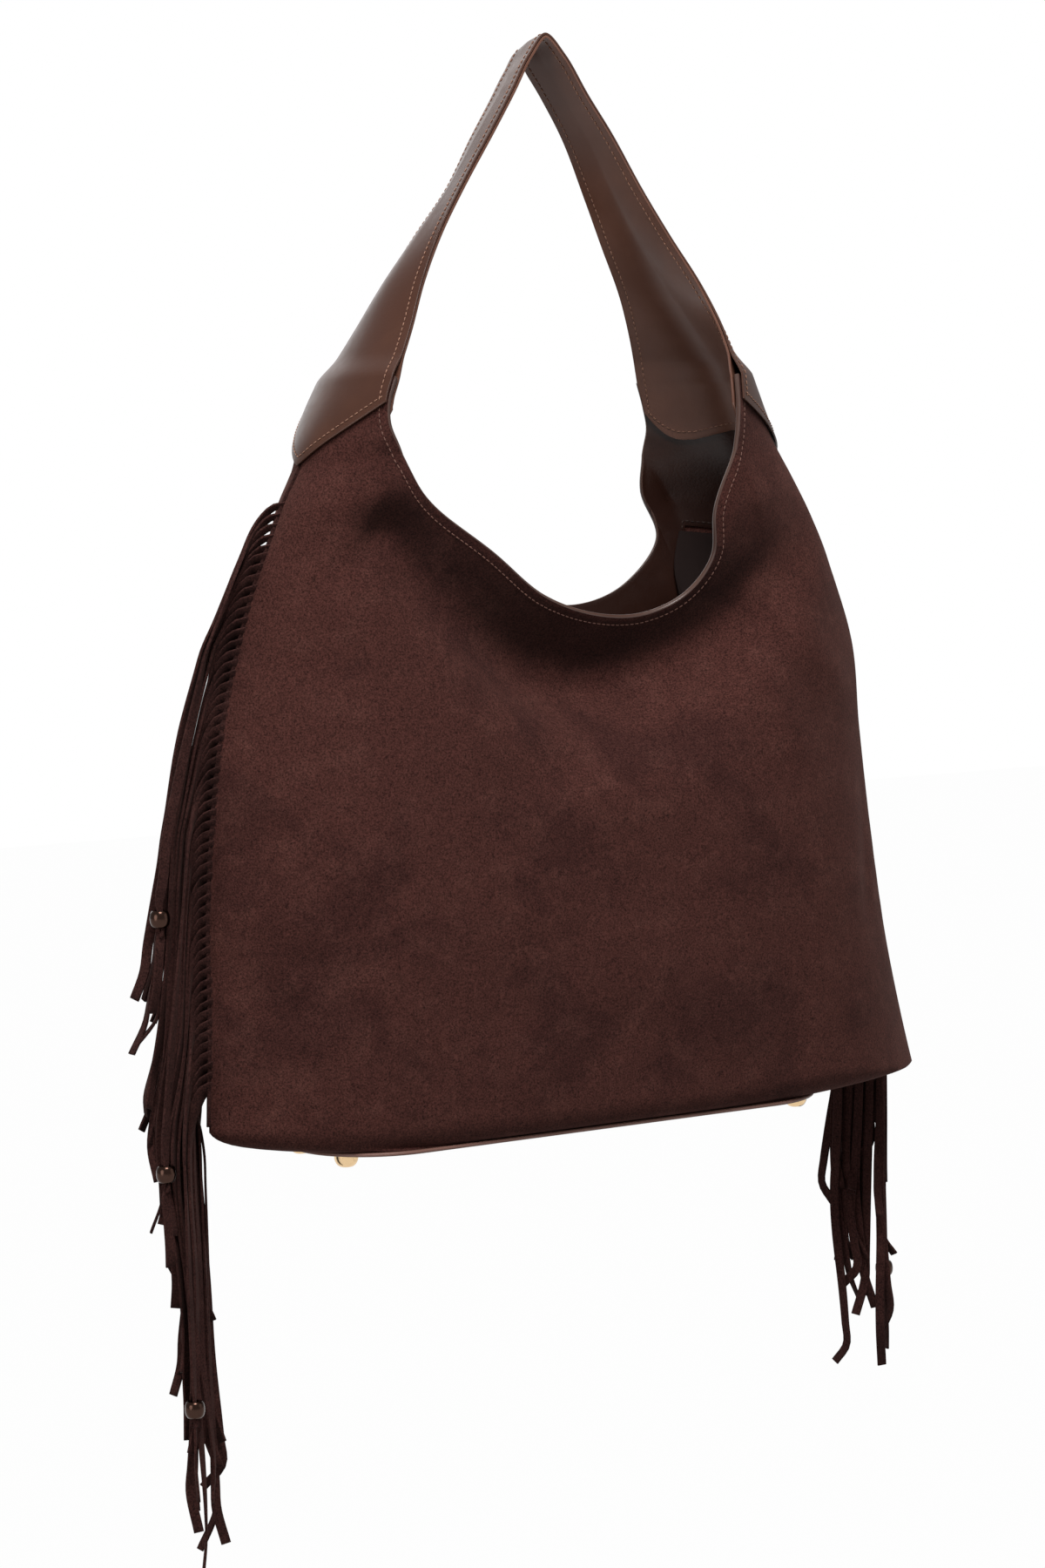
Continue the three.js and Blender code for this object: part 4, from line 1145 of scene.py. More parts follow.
@dataclass
class LeatherBase:
    """The base with its turned edge, its feet, and the board inside it."""

    finishes: Finishes
    centre: float = -8.0
    length: float = 300.0
    depth: float = 100.0
    corner: float = 45.0
    under: float = -552.0
    thick: float = 1.6
    foot_x: float = 135.0
    foot_y: float = 25.0
    foot_radius: float = 6.1
    foot_height: float = 6.5
    foot_flat: float = 2.2
    stem: float = 1.5
    head: float = 2.6
    head_under: float = -546.2
    head_thick: float = 0.4

    def build_base(self) -> None:
        """The leather base: a plate with round corners and a softly turned rim."""
        deselect()
        at = (self.centre * MM, 0, (self.under + self.thick / 2) * MM)
        bpy.ops.mesh.primitive_cube_add(size=1, location=at)
        piece = bpy.context.object
        piece.name = "leather_base"
        piece.scale = (self.length * MM, self.depth * MM, self.thick * MM)
        bpy.ops.object.transform_apply(location=True, rotation=True, scale=True)
        bpy.ops.object.mode_set(mode="EDIT")
        bpy.ops.mesh.select_mode(type="EDGE")
        bpy.ops.mesh.select_all(action="DESELECT")
        work = bmesh.from_edit_mesh(piece.data)
        for edge in work.edges:
            a, b = (v.co for v in edge.verts)
            edge.select = abs(a.z - b.z) > self.thick * MM / 2
        bmesh.update_edit_mesh(piece.data)
        bpy.ops.mesh.bevel(offset=self.corner * MM, segments=22, affect="EDGES")
        bpy.ops.mesh.select_all(action="DESELECT")
        work = bmesh.from_edit_mesh(piece.data)
        for edge in work.edges:
            flat = [f for f in edge.link_faces if abs(f.normal.z) > 0.9]
            edge.select = len(flat) == 1
        bmesh.update_edit_mesh(piece.data)
        bpy.ops.mesh.bevel(offset=0.7 * MM, segments=4, affect="EDGES")
        bpy.ops.object.mode_set(mode="OBJECT")
        wear(piece, self.finishes.base)
        shade(piece, 40)
        settle(piece, "base_leather", "base_panel")

    def build_edge(self) -> None:
        """The base's turned edge, a thin roll that shows below the suede, in a lighter leather that paints a highlight
        on it.
        """
        turn = (np.arange(96) + 0.5) / 96 * 2 * math.pi
        turn = np.append(turn, turn[0])
        c, s = np.cos(turn), np.sin(turn)
        level = np.full(len(turn), self.under + 0.7)
        path = np.column_stack(
            [
                self.centre + (self.length / 2 - self.corner) * np.sign(c) + self.corner * c,
                (self.depth / 2 - self.corner) * np.sign(s) + self.corner * s,
                level,
            ]
        )
        out = np.column_stack([c, s, 0 * c])
        ring = np.array([(math.cos(b), math.sin(b)) for b in np.linspace(0, 2 * math.pi, 11)[:-1]])
        piece = sweep("base_turned_edge", path, out, np.tile([0.0, 0.0, 1.0], (len(turn), 1)), ring)
        # lighter leather: painted highlight on the shaded edge
        wear(piece, self.finishes.base_edge_painted_light)
        shade(piece, 70)
        settle(piece, "base_leather")

    def build_feet(self) -> None:
        """Four domed feet, each with its stem and riveted head."""
        seat = self.under - 0.3
        low = seat - self.foot_height
        dome = [(0.0, low), (self.foot_flat, low)]
        for angle in range(8, 90, 8):
            a = math.radians(angle)
            r = mix(self.foot_flat, self.foot_radius, math.sin(a))
            dome.append((r, low + (self.foot_height - 1.2) * (1 - math.cos(a))))
        dome += [(self.foot_radius, seat - 0.5), (self.foot_radius - 0.35, seat), (self.stem, seat)]
        top = self.head_under + self.head_thick
        dome += [(self.stem, self.head_under), (self.head, self.head_under), (self.head, top), (0.0, top)]
        for y_name, sy in (("front", -1), ("back", 1)):
            for x_name, sx in (("left", -1), ("right", 1)):
                place = (self.centre + sx * self.foot_x, sy * self.foot_y, 0.0)
                piece = turned_piece(f"domed_foot_{y_name}_{x_name}", dome, place, 48)
                wear(piece, self.finishes.gold)
                shade(piece, 35)
                settle(piece, "foot_metal", f"foot_{y_name}_{x_name}")

    def dress_inside(self, nodes: dict[str, bpy.types.Object]) -> None:
        """Give the CAD base board and foot washers their finishes."""
        for name, node in nodes.items():
            if name == "base_board":
                wear(node, self.finishes.board)
            elif name.startswith("foot_washer"):
                wear(node, self.finishes.gold)


# ---- strap and stitching ----


@dataclass
class Strap:
    """The two plies of the shoulder strap, lapped over and inside the horns."""

    shape: HungShape
    finishes: Finishes
    ply: float = 1.2
    gap: float = 0.3
    lap_gap: float = 1.1
    suede: float = 1.2
    facing: float = 1.0
    across: int = 41
    steps: int = 190
    horn_steps: int = 16
    outer_spine: float = -212.0
    outer_edge: float = -183.0
    inner_end: tuple[tuple[float, float], ...] = (
        (0.0, -195.0), (0.3, -195.4), (0.5, -197.5), (0.68, -200.4), (0.8, -200.8), (0.88, -198.0), (0.94, -193.0),
        (1.0, -185.0),
    )
    ply_open: float = -171.0
    ply_shut: float = -157.0

    def __post_init__(self) -> None:
        """Keep the stations of the strap's edges and middle line."""
        self.front = [
            (-93.5, -32, -145), (-82, -25, -121), (-69, -20, -97), (-53.5, -17, -73), (-35, -15.5, -46),
            (-21.5, -15, -25), (-10.5, -15, -6.5), (0, -15, 4.5), (11.5, -15, -6), (24.5, -15, -26),
            (38.5, -15, -46), (54.5, -16, -73), (69.5, -19, -98), (83.5, -25, -123), (91, -33, -146),
        ]
        self.spine = [
            (-104, 0, -145), (-88.5, 0, -121), (-70, 0, -97), (-51.5, 0, -73), (-34, 0, -46),
            (-20.5, 0, -26), (-9.5, 0, -9), (0, 0, 2.7), (10, 0, -9), (21, 0, -26),
            (34, 0, -46), (48.5, 0, -73), (64, 0, -98), (82, 0, -123), (101, 0, -146),
        ]
        self.back = [
            (-90, 32, -145), (-76, 25, -121), (-62, 19, -97), (-44.5, 16, -73), (-30, 15, -47),
            (-18, 15, -28), (-8.5, 15, -12.5), (0, 15, -1.5), (8.5, 15, -13), (16.5, 15, -25),
            (27.5, 15, -45), (39, 16, -73), (50, 19, -98), (63.5, 25, -123), (73.5, 32, -146),
        ]
        self.curls = [2, 1.9, 1.7, 1.4, 1.1, 1, 1, 1, 1, 1, 1, 1, 1.1, 1.4, 1.7, 1.9, 2]

    def _horn_row(self, end: End, q: np.ndarray, z: np.ndarray) -> np.ndarray:
        """One row of the strap where it lies on a horn."""
        front = self.shape.horn(Face.FRONT, end, np.abs(q), z)
        back = self.shape.horn(Face.BACK, end, np.abs(q), z)
        row = np.where((q < 0)[:, None], front, back)
        row[np.abs(q) < 1e-9, 1] = 0.0
        return row

    def surface(self, end_level: np.ndarray, q: np.ndarray) -> np.ndarray:
        """The strap's middle surface, left horn to right horn.

        Args:
            end_level: Height of the ply's end for each place across it.
            q: Places across, -1 at the front edge to 1 at the back edge.

        Returns:
            Points, one row for each step along the strap.
        """
        top = self.shape.horn_top
        ends = {}
        for end in End:
            ends[end] = {
                -1: tuple(self.shape.horn(Face.FRONT, end, np.array([1.0]), np.array([top]))[0]),
                0: (float(self.shape.seam(end, top)), 0.0, top),
                1: tuple(self.shape.horn(Face.BACK, end, np.array([1.0]), np.array([top]))[0]),
            }
        t = np.linspace(0, 1, self.steps + 1)
        lines = {
            key: through([ends[End.LEFT][key], *stations, ends[End.RIGHT][key]], t)
            for key, stations in ((-1, self.front), (0, self.spine), (1, self.back))
        }
        curls = np.interp(t * (len(self.curls) - 1), np.arange(len(self.curls)), self.curls)
        rows = []
        falls = np.linspace(0, 1, self.horn_steps + 1)[:-1]
        rows += [self._horn_row(End.LEFT, q, mix(end_level, top, f)) for f in falls]
        for i in range(len(t)):
            edge = np.where((q < 0)[:, None], lines[-1][i], lines[1][i])
            bend = np.abs(q) ** curls[i]
            y = mix(self.shape.seam_gap * (curls[i] - 1), np.abs(edge[:, 1]), np.abs(q)) * np.sign(q)
            rows.append(
                np.stack(
                    [mix(lines[0][i, 0], edge[:, 0], bend), y, mix(lines[0][i, 2], edge[:, 2], bend)], axis=-1
                )
            )
        rows += [self._horn_row(End.RIGHT, q, mix(end_level, top, f)) for f in falls[::-1]]
        return np.stack(rows)

    def _offset(self, grid: np.ndarray, opened: float, shut: float) -> np.ndarray:
        """Move a strap surface along its outward normal, by one amount on the horns and one above."""
        n = grid_normals(grid)
        if n[len(grid) // 2, grid.shape[1] // 2, 2] < 0:
            n = -n
        amount = mix(opened, shut, smooth((grid[..., 2] - self.ply_open) / (self.ply_shut - self.ply_open)))
        return grid + n * amount[..., None]

    def ply_surfaces(self) -> dict[str, tuple[np.ndarray, np.ndarray]]:
        """The face of each ply that shows and its normals; the thickness goes the other way."""
        q = np.sin(np.linspace(-1, 1, self.across) * math.pi / 2 * 0.82) / math.sin(math.pi / 2 * 0.82)
        outer = self.surface(mix(self.outer_spine, self.outer_edge, np.abs(q)), q)
        inner = self.surface(np.interp(np.abs(q), *zip(*self.inner_end)), q)
        open_in = -(self.suede + self.gap + self.facing + self.lap_gap + self.ply)
        grids = {
            "outer": self._offset(outer, self.lap_gap + self.ply, 0.0),
            "inner": self._offset(inner, open_in, -(2 * self.ply + self.gap)),
        }
        away = grids["outer"] - grids["inner"]
        faced = {}
        for name, grid in grids.items():
            normals = grid_normals(grid)
            side = np.sum(normals * away, axis=2).mean() * (1 if name == "outer" else -1)
            faced[name] = (grid, normals if side > 0 else -normals)
        return faced

    def build_plies(self) -> None:
        """Both plies, with painted edges."""
        for name, (grid, normals) in self.ply_surfaces().items():
            faces = grid_faces(*grid.shape[:2])
            piece = mesh_piece(f"strap_{name}_ply", grid.reshape(-1, 3), faces)
            row, column = grid.shape[0] // 4, grid.shape[1] // 2
            if piece.data.polygons[row * (grid.shape[1] - 1) + column].normal.dot(Vector(normals[row, column])) < 0:
                piece.data.flip_normals()
            thicken(piece, self.ply, rim=1, soften=0.28, even_wall=False)
            outward(piece)
            # the inner ply wears the lighter leather, painted light for its shaded face
            wear(piece, self.finishes.strap_under_painted_light if name == "inner" else self.finishes.strap, self.finishes.paint)
            shade(piece, 50)
            settle(piece, "strap_leather", f"strap_{name}")


@dataclass
class Stitching:
    """Rows of topstitch laid as single threads on the cloth."""

    body: SuedeBody
    strap: Strap
    finishes: Finishes
    pitch: float = 3.0
    length: float = 2.2
    radius: float = 0.35
    edge_inset: float = 4.6

    def _stitches(
        self, name: str, path: np.ndarray, normal: np.ndarray, thread: bpy.types.Material | None = None
    ) -> bpy.types.Object:
        """One row of stitches along a path.

        Args:
            name: The piece's name.
            path: Points on the cloth.
            normal: The cloth's outward normal at each point.
            thread: The thread's finish, if not the strap's.

        Returns:
            The row as one piece.
        """
        run = np.concatenate([[0], np.cumsum(np.linalg.norm(np.diff(path, axis=0), axis=1))])
        count = int(run[-1] // self.pitch)
        starts = (np.arange(count) + 0.5) * self.pitch + (run[-1] - count * self.pitch) / 2 - self.length / 2
        shape = [(0.0, 0.35), (0.22, 0.9), (0.5, 1.0), (0.78, 0.9), (1.0, 0.35)]
        points, faces = [], []
        for start in starts:
            base = len(points)
            for f, swell in shape:
                s = start + f * self.length
                p = np.array([np.interp(s, run, path[:, k]) for k in range(3)])
                n = np.array([np.interp(s, run, normal[:, k]) for k in range(3)])
                ahead = np.array([np.interp(s + 0.5, run, path[:, k]) for k in range(3)])
                d = ahead - np.array([np.interp(s - 0.5, run, path[:, k]) for k in range(3)])
                d /= max(np.linalg.norm(d), 1e-9)
                n -= d * n.dot(d)
                n /= max(np.linalg.norm(n), 1e-9)
                b = np.cross(d, n)
                lift = self.radius * (0.25 + 0.35 * (swell - 0.35))
                for a in np.linspace(0, 2 * math.pi, 7)[:-1]:
                    r = self.radius * swell
                    points.append(p + n * (lift + r * 0.75 * math.sin(a)) + b * r * math.cos(a))
            for j in range(len(shape) - 1):
                for i in range(6):
                    a = base + j * 6 + i
                    b2 = base + j * 6 + (i + 1) % 6
                    faces.append((a, b2, b2 + 6, a + 6))
            faces.append(tuple(base + i for i in range(6))[::-1])
            faces.append(tuple(base + 6 * (len(shape) - 1) + i for i in range(6)))
        piece = mesh_piece(name, np.array(points), faces)
        outward(piece)
        wear(piece, thread or self.finishes.thread)
        shade(piece, 80)
        return piece

    def sew_mouth(self) -> None:
        """Topstitch below the mouth's edge, seen on the suede, and along the facings' lower edge."""
        for face in Face:
            edge, _, away = self.body.mouth_path(face)
            path, normal = self.body.on_cloth(face, even(edge - away * self.edge_inset, 320))
            row = self._stitches(
                f"mouth_stitch_{face.name.lower()}", path + normal * 0.05, normal, self.finishes.mouth_thread
            )
            settle(row, "strap_leather")
            low = self.body.top_band(face, np.array([self.body.shape.facing_drop - 3.0]))[0][3:-3]
            low, out = self.body.on_cloth(face, even(low, 300))
            inner = low - out * (self.body.suede + self.body.layer_gap + self.body.facing + 0.05)
            row = self._stitches(f"facing_stitch_{face.name.lower()}", inner, -out, self.finishes.facing_thread)
            settle(row, "facing_leather")

    def sew_strap(self, inset: float = 4.2) -> None:
        """Topstitch along both edges and both ends of each ply."""
        for name, (grid, n) in self.strap.ply_surfaces().items():
            run = np.concatenate(
                [np.zeros((len(grid), 1)), np.cumsum(np.linalg.norm(np.diff(grid, axis=1), axis=2), axis=1)], axis=1
            )
            for side in ("front", "back"):
                want = np.full(len(grid), inset) if side == "front" else run[:, -1] - inset
                pick = lambda a: np.array(
                    [[np.interp(w, r, row[:, k]) for k in range(3)] for w, r, row in zip(want, run, a)]
                )
                path, normal = pick(grid), pick(n)
                normal /= np.linalg.norm(normal, axis=1, keepdims=True)
                keep = slice(2, -2)
                settle(
                    self._stitches(f"strap_{name}_stitch_{side}", path[keep] + normal[keep] * 0.05, normal[keep]),
                    "strap_leather",
                )
            along = np.concatenate([[0], np.cumsum(np.linalg.norm(np.diff(grid[:, grid.shape[1] // 2], axis=0), axis=1))])
            for end, rows in (("left", slice(None)), ("right", slice(None, None, -1))):
                g, m = grid[rows], n[rows]
                steps = np.cumsum(np.linalg.norm(np.diff(g, axis=0), axis=2), axis=0)
                steps = np.concatenate([np.zeros((1, g.shape[1])), steps])
                path = np.array([[np.interp(inset, steps[:, i], g[:, i, k]) for k in range(3)] for i in range(g.shape[1])])
                normal = np.array([[np.interp(inset, steps[:, i], m[:, i, k]) for k in range(3)] for i in range(g.shape[1])])
                normal /= np.linalg.norm(normal, axis=1, keepdims=True)
                settle(
                    self._stitches(f"strap_{name}_stitch_{end}_end", path[1:-1] + normal[1:-1] * 0.05, normal[1:-1]),
                    "strap_leather",
                )


# ---- fringe and beads ----


@dataclass(frozen=True)
class FringeSide:
    """How the fringe of one seam hangs."""

    end: End
    lean: float
    reach: tuple[float, float]
    shift: tuple[float, float]
    drop: float
    beaded: tuple[int, ...]
    lane: float
    apart: tuple[float, float]
    drawn: float
    ease: float
    margin: float
    tuck: float
    louvre: float


@dataclass
class Fringe:
    """A strip sewn into each side seam and cut into hanging strands, some with a bead."""

    shape: HungShape
    finishes: Finishes
    thick: float = 1.3
    width: float = 5.0
    header_top: float = -204.0
    header_low: float = -535.0
    header_inside: float = 5.0
    root_width: float = 1.42
    top: float = -231.0
    low: float = -516.0
    count: int = 56
    unevenness: float = 22.0
    stray: float = 6.5
    stray_run: float = 85.0
    splayed: int = 4
    splay: float = 8.0
    growth: float = 0.07
    lanes: tuple[tuple[float, float], ...] = ((4.8, 0), (-7.6, 5), (-1.4, 1), (-13.8, 8), (-20, 10))
    hang_levels: tuple[float, ...] = (-229, -300, -390, -480, -538)
    bead_radius: float = 5.0
    bead_height: float = 8.0
    bead_bore: float = 2.1
    bead_above: float = 46.0
    threaded: float = 3.0

    def __post_init__(self) -> None:
        """Set how each side hangs."""
        self.sides = [
            FringeSide(End.LEFT, 20, (13, 9), (1, -2), 236, (1, 26, 47), 15, (0, 0), 1.0, 34, 1.6, 0.0, 0.66),
            FringeSide(End.RIGHT, 60, (16, 18), (-9, -21), 202, (5, 28, 53), 6, (18, 10), 0.0, 12, -2.6, 3.6, 0.05),
        ]

    def _uneven(self, i: int) -> float:
        """A repeatable number from -0.5 to 0.5 for strand i."""
        value = math.sin(i * 12.9898 + 4.1) * 43758.5453
        return value - math.floor(value) - 0.5

    def _hang_x(self, end: End, z: float) -> float:
        """Seam distance as the hanging strands see it."""
        xs = [float(self.shape.seam(end, level)) for level in self.hang_levels[::-1]]
        return float(np.interp(z, self.hang_levels[::-1], xs))

    def _place(self, side: FringeSide, i: int, z: float) -> np.ndarray:
        """Where strand i hangs at height z."""
        f = i / (self.count - 1)
        root = mix(self.top, self.low, f)
        beaded = i in side.beaded
        lane, drawn = (side.lane, 0.0) if beaded else self.lanes[i % len(self.lanes)]
        settled = float(smooth((root - z - 5) / side.ease))
        left_seam = 1 - 0.62 * math.exp(-max(0.0, root - z) / 11)
        reach = mix(*side.reach, f) - drawn * side.drawn * settled + (mix(*side.apart, f) if beaded else 0)
        reach *= left_seam
        lean = math.radians(side.lean)
        sign = side.end.value
        out = np.array([sign * math.cos(lean), math.sin(lean), 0])
        across = np.array([sign * math.sin(lean), -math.cos(lean), 0])
        level = max(self.shape.fold_level, z)
        down = (self.top - level) / (self.top - self.shape.fold_level)
        base = np.array([self._hang_x(side.end, z), 0, z])
        spread = (lane + mix(*side.shift, down)) * settled - side.tuck * (1 - settled)
        return base + out * (reach + self.growth * (root - level)) + across * spread

    def _strand_path(self, side: FringeSide, i: int) -> tuple[np.ndarray, np.ndarray]:
        """The middle line of a strand and the direction of its width at each point."""
        rng = random.Random(31 * i + (7 if side.end is End.LEFT else 977))
        root = mix(self.top, self.low, i / (self.count - 1))
        tip = root - side.drop + self.unevenness * self._uneven(i)
        beaded = i in side.beaded
        bead = tip + self.bead_above
        sign = side.end.value
        lean = math.radians(side.lean)
        out = np.array([sign * math.cos(lean), math.sin(lean), 0])
        start = np.array([float(self.shape.seam(side.end, root)), 0.0, root])
        start -= np.array([sign * math.sin(lean), -math.cos(lean), 0]) * side.tuck * 0.8
        arch = self._place(side, i, root - 5)
        keys = [
            start - [sign * 3, 0, 0],
            start + [sign * side.margin * 0.6, 0, 0],
            mix(start, arch, 0.5) + np.array([0, 0, 1.6]),
            arch,
            self._place(side, i, root - 10),
        ]
        stray = np.zeros(3)
        if not beaded:
            stray = np.array([rng.uniform(-1, 1), rng.uniform(-1, 1), 0]) * self.stray
            if i < self.splayed and side.end is End.LEFT:
                stray = out * self.splay * (1 - 0.2 * i)
        z = root - 17
        while z > tip + 8:
            p = self._place(side, i, z)
            fall = root - z
            free = min(1.0, fall / 110)
            if beaded:
                free *= 0.0 if z > bead - 8 else 0.5
            sway = noise.noise_vector(Vector((p[0] / 55, p[1] / 55, z / 90)))
            own = noise.noise_vector(Vector((i * 3.7, sign * 5.1, z / 70)))
            end_run = float(smooth((tip + self.stray_run - z) / self.stray_run))
            p = p + np.array([sway[0], sway[1], 0]) * 5.5 * free + np.array([own[0], own[1], 0]) * 1.6 * free
            keys.append(p + stray * end_run)
            z -= 13
        curl = np.array([rng.uniform(-1, 1), rng.uniform(-1, 1), 0]) * (0.0 if beaded or i < self.splayed else 7.0)
        keys.append(self._place(side, i, tip) + stray + curl)
        if beaded:
            spot = self._place(side, i, bead)
            keys = [k for k in keys if abs(k[2] - bead) > 10]
            keys += [spot + [0, 0, h] for h in (8.0, 4.0, 0.0, -4.0, -8.0)]
            keys.sort(key=lambda k: -k[2])
        path = even(through([tuple(k) for k in keys], np.linspace(0, 1, 260)), 74)
        run = np.linspace(0, 1, len(path)) * np.linalg.norm(np.diff(path, axis=0), axis=1).sum()
        d = np.gradient(path, axis=0)
        d /= np.linalg.norm(d, axis=1, keepdims=True)
        wide = np.cross(d, np.cross(out, [0, 0, 1.0]) * -1.0)
        wide /= np.linalg.norm(wide, axis=1, keepdims=True)
        thin = np.cross(d, wide)
        lean_over = side.louvre * (1 + 0.25 * rng.uniform(-1, 1))
        loose = rng.uniform(0.1, 1.3) if side.end is End.LEFT else rng.uniform(0.9, 1.6)
        tip_turn = rng.uniform(-1.2, 1.2)
        twist = lean_over * smooth((run + 2) / 7) + 0.75 * smooth((run - 12) / 28)
        twist = mix(twist, loose, smooth((run - 70) / 90)) + tip_turn * smooth((run - run[-1] + 80) / 80)
        twist = -twist
        wide = wide * np.cos(twist)[:, None] + thin * np.sin(twist)[:, None]
        return path, wide

    def build_side(self, side: FringeSide) -> None:
        """One fringe as a single piece, and its beads."""
        w, t = self.width / 2, self.thick / 2
        ring = np.array([(-w, -t * 0.6), (-w * 0.9, -t), (w * 0.9, -t), (w, -t * 0.6),
                         (w, t * 0.6), (w * 0.9, t), (-w * 0.9, t), (-w, t * 0.6)])
        points, faces = [], []
        for i in range(self.count):
            path, wide = self._strand_path(side, i)
            d = np.gradient(path, axis=0)
            d /= np.linalg.norm(d, axis=1, keepdims=True)
            thin = np.cross(d, wide)
            run = np.concatenate([[0], np.cumsum(np.linalg.norm(np.diff(path, axis=0), axis=1))])
            open_top = i < 5 and side.end is End.LEFT
            scale = mix(0.8 if open_top else self.root_width, 1.0, smooth((run - 12) / 18))
            if i in side.beaded:
                tip = mix(self.top, self.low, i / (self.count - 1)) - side.drop + self.unevenness * self._uneven(i)
                bead = tip + self.bead_above
                scale = scale * mix(self.threaded / self.width, 1.0, smooth((np.abs(path[:, 2] - bead) - 5.5) / 5))
                self._bead(side, i, bead)
            base = len(points)
            for p, a, b, k in zip(path, wide, thin, scale):
                points += [p + a * x * k + b * y for x, y in ring]
            for j in range(len(path) - 1):
                for m in range(8):
                    a0, b0 = base + j * 8 + m, base + j * 8 + (m + 1) % 8
                    faces.append((a0, b0, b0 + 8, a0 + 8))
            faces.append(tuple(base + m for m in range(8))[::-1])
            faces.append(tuple(base + 8 * (len(path) - 1) + m for m in range(8)))
        base = len(points)
        sign = side.end.value
        for z in np.linspace(self.header_top, self.header_low, 90):
            seam = float(self.shape.seam(side.end, z))
            inner, outer = seam - sign * self.header_inside, seam + sign * side.margin
            points += [np.array(c) for c in ((inner, t, z), (outer, t, z), (outer, -t, z), (inner, -t, z))]
        for j in range(89):
            for m in range(4):
                a0, b0 = base + j * 4 + m, base + j * 4 + (m + 1) % 4
                faces.append((a0, b0, b0 + 4, a0 + 4))
        faces += [tuple(base + m for m in range(4))[::-1], tuple(base + 89 * 4 + m for m in range(4))]
        name = f"fringe_strands_{side.end.name.lower()}"
        piece = mesh_piece(name, np.array(points), faces)
        outward(piece)
        # painted shade where the strands face downward
        paint_downward_shade(piece)
        wear(piece, self.finishes.strand)
        shade(piece, 45)
        settle(piece, "fringe_suede", f"fringe_{side.end.name.lower()}")

    def _bead(self, side: FringeSide, i: int, bead: float) -> None:
        """A bored bead on a strand, and the knot that holds it."""
        spot = self._place(side, i, bead)
        half, limit = self.bead_height / 2, 1.2
        profile = [(self.bead_bore, -half)]
        for a in np.linspace(-limit, limit, 15):
            r = mix(self.bead_bore + 0.6, self.bead_radius, math.cos(a) ** 0.85)
            profile.append((r, half * math.sin(a) / math.sin(limit)))
        profile += [(self.bead_bore, half), (self.bead_bore, -half)]
        number = side.beaded.index(i) + 1
        label = side.end.name.lower()
        piece = turned_piece(f"threaded_bead_{label}_{number}", profile, (spot[0], spot[1], bead), 40)
        wear(piece, self.finishes.bronze)
        shade(piece, 40)
        settle(piece, "bead_metal", f"bead_{label}_{number}")
        a = np.linspace(0, 2 * math.pi, 49)[:-1]
        loop = np.stack(
            [(np.sin(a) + 2 * np.sin(2 * a)) * 0.62, (np.cos(a) - 2 * np.cos(2 * a)) * 0.62, -np.sin(3 * a) * 1.5], -1
        )
        path = loop + np.array([spot[0], spot[1], bead - half - 3.0])
        path = np.concatenate([path, path[:1]])
        d = np.gradient(path, axis=0)
        d /= np.linalg.norm(d, axis=1, keepdims=True)
        up = np.tile([0.0, 0.0, 1.0], (len(path), 1))
        up -= d * np.sum(up * d, axis=1, keepdims=True)
        up /= np.linalg.norm(up, axis=1, keepdims=True)
        side_of = np.cross(d, up)
        ring = np.array([(0.75 * math.cos(b), 1.0 * math.sin(b)) for b in np.linspace(0, 2 * math.pi, 9)[:-1]])
        knot = sweep(f"strand_knot_{label}_{number}", path, side_of, up, ring)
        wear(knot, self.finishes.strand)
        shade(knot, 80)
        settle(knot, "fringe_suede")

    def build(self) -> None:
        """Both fringes."""
        for side in self.sides:
            self.build_side(side)


# ---- studio ----


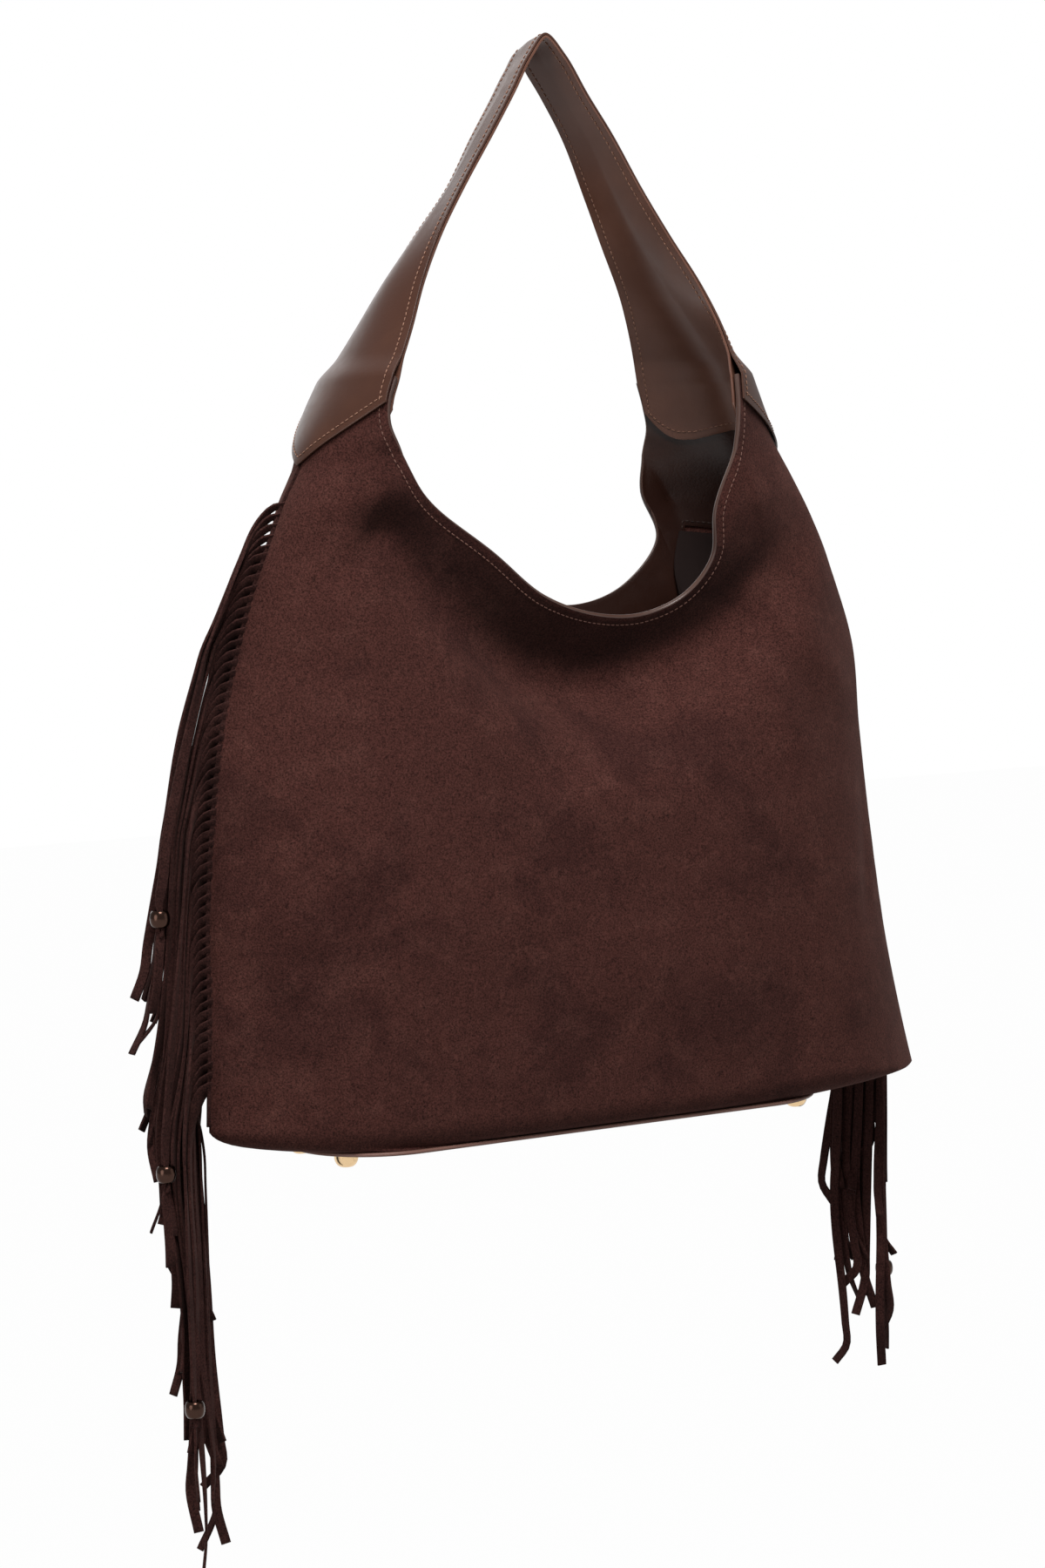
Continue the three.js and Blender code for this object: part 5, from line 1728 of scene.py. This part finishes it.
@dataclass
class Studio:
    """The camera, the plain pale floor and the soft lights."""

    azimuth: float = 30.0
    elevation: float = 4.0
    roll: float = 2.0
    distance: float = 1800.0
    focal_pixels: float = 4000.0
    target: tuple[float, float, float] = (0.0, -5.0, -320.0)
    pixel: tuple[float, float] = (640.0, 770.0)
    picture: tuple[int, int] = (1200, 1800)
    floor_level: float = -1450.0

    def place_camera(self) -> None:
        """Stand the camera where the photograph was taken from."""
        a, e, r = (math.radians(v) for v in (self.azimuth, self.elevation, self.roll))
        back = Vector((-math.sin(a) * math.cos(e), -math.cos(a) * math.cos(e), math.sin(e)))
        level = Vector((0, 0, 1)).cross(back).normalized()
        upright = back.cross(level)
        right = level * math.cos(r) - upright * math.sin(r)
        up = upright * math.cos(r) + level * math.sin(r)
        dx = (self.pixel[0] - self.picture[0] / 2) / self.focal_pixels * self.distance
        dy = (self.picture[1] / 2 - self.pixel[1]) / self.focal_pixels * self.distance
        eye = Vector(self.target) + back * self.distance - right * dx - up * dy
        data = bpy.data.cameras.new("camera")
        data.sensor_width = 36.0
        data.sensor_fit = "AUTO"
        data.lens = self.focal_pixels / max(self.picture) * 36.0
        data.clip_end = 50.0
        camera = bpy.data.objects.new("camera", data)
        camera.matrix_world = Matrix(
            [(*c, o) for c, o in zip(zip(right, up, back), eye * MM)] + [(0, 0, 0, 1)]
        )
        bpy.context.scene.collection.objects.link(camera)
        bpy.context.scene.camera = camera

    def lay_floor(self) -> None:
        """A plain pale floor well below the bag."""
        deselect()
        bpy.ops.mesh.primitive_plane_add(size=24, location=(0, 0, self.floor_level * MM))
        floor = bpy.context.object
        floor.name = "floor"
        material, g, shader = new_material("pale floor")
        shader.inputs["Base Color"].default_value = (0.4, 0.4, 0.4, 1.0)
        shader.inputs["Roughness"].default_value = 0.9
        out = next(n for n in g.tree.nodes if n.type == "OUTPUT_MATERIAL")
        seen = g.add("LightPath")
        rays = g.add("Math", {0: seen.outputs["Is Camera Ray"], 1: seen.outputs["Is Glossy Ray"]}, operation="MAXIMUM")
        rays = g.add("Math", {0: rays.outputs[0], 1: seen.outputs["Is Transmission Ray"]}, operation="MAXIMUM")
        white = g.add("Emission", {"Color": (1.0, 1.0, 1.0), "Strength": 1.0})
        lit = g.add("Math", {0: rays.outputs[0], 1: 0.985}, operation="MULTIPLY")
        both = g.add("MixShader", {0: lit.outputs[0], 1: shader.outputs[0], 2: white.outputs[0]})
        g.tree.links.new(both.outputs[0], out.inputs["Surface"])
        floor.data.materials.append(material)

    def light(self) -> None:
        """Large soft lamps and a pale surround."""
        world = bpy.data.worlds.new("surround")
        world.use_nodes = True
        bpy.context.scene.world = world
        g = Graph(world.node_tree)
        seen = g.add("LightPath")
        rays = g.add("Math", {0: seen.outputs["Is Camera Ray"], 1: seen.outputs["Is Transmission Ray"]}, operation="MAXIMUM")
        gloss = g.add("Math", {0: seen.outputs["Is Glossy Ray"], 1: 0.32}, operation="MULTIPLY")
        rays = g.add("Math", {0: rays.outputs[0], 1: gloss.outputs[0]}, operation="MAXIMUM")
        plain = g.add("Background", {"Color": (1.0, 1.0, 1.0), "Strength": 0.13})
        white = g.add("Background", {"Color": (1.0, 1.0, 1.0), "Strength": 1.0})
        both = g.add("MixShader", {0: rays.outputs[0], 1: plain.outputs[0], 2: white.outputs[0]})
        g.add("OutputWorld", {"Surface": both.outputs[0]})
        for name, place, size, power in (
            ("key", (-450, -1250, 1650), 1.1, 50.0),
            ("side", (-2000, -550, -150), 1.2, 11.0),
            ("fill", (1700, -1500, 100), 1.8, 5.0),
            ("top", (200, 300, 1500), 1.4, 8.0),
            ("back", (300, 1900, 400), 1.8, 10.0),
        ):
            data = bpy.data.lights.new(name, "AREA")
            data.shape = "DISK"
            data.size = size
            data.energy = power
            lamp = bpy.data.objects.new(name, data)
            spot = Vector(place) * MM
            aim = Vector((0, 0, -0.33)) - spot
            lamp.matrix_world = Matrix.Translation(spot) @ aim.to_track_quat("-Z", "Y").to_matrix().to_4x4()
            bpy.context.scene.collection.objects.link(lamp)


def main() -> None:
    """Load the frame and build every sub-assembly in order."""
    logging.basicConfig(level=logging.INFO, format="%(name)s %(message)s")
    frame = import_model()
    studio = Studio()
    studio.place_camera()
    finishes = Finishes(Effects())
    shape = HungShape()
    body = SuedeBody(shape, finishes)
    body.build_panels()
    body.build_facings()
    body.build_lining()
    body.build_edges()
    base = LeatherBase(finishes)
    base.build_base()
    base.build_edge()
    base.build_feet()
    base.dress_inside(frame["nodes"])
    strap = Strap(shape, finishes)
    strap.build_plies()
    stitching = Stitching(body, strap, finishes)
    stitching.sew_mouth()
    stitching.sew_strap()
    Fringe(shape, finishes).build()
    studio.lay_floor()
    studio.light()
    bpy.context.scene.view_settings.view_transform = "Standard"
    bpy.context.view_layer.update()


if __name__ == "__main__":
    main()
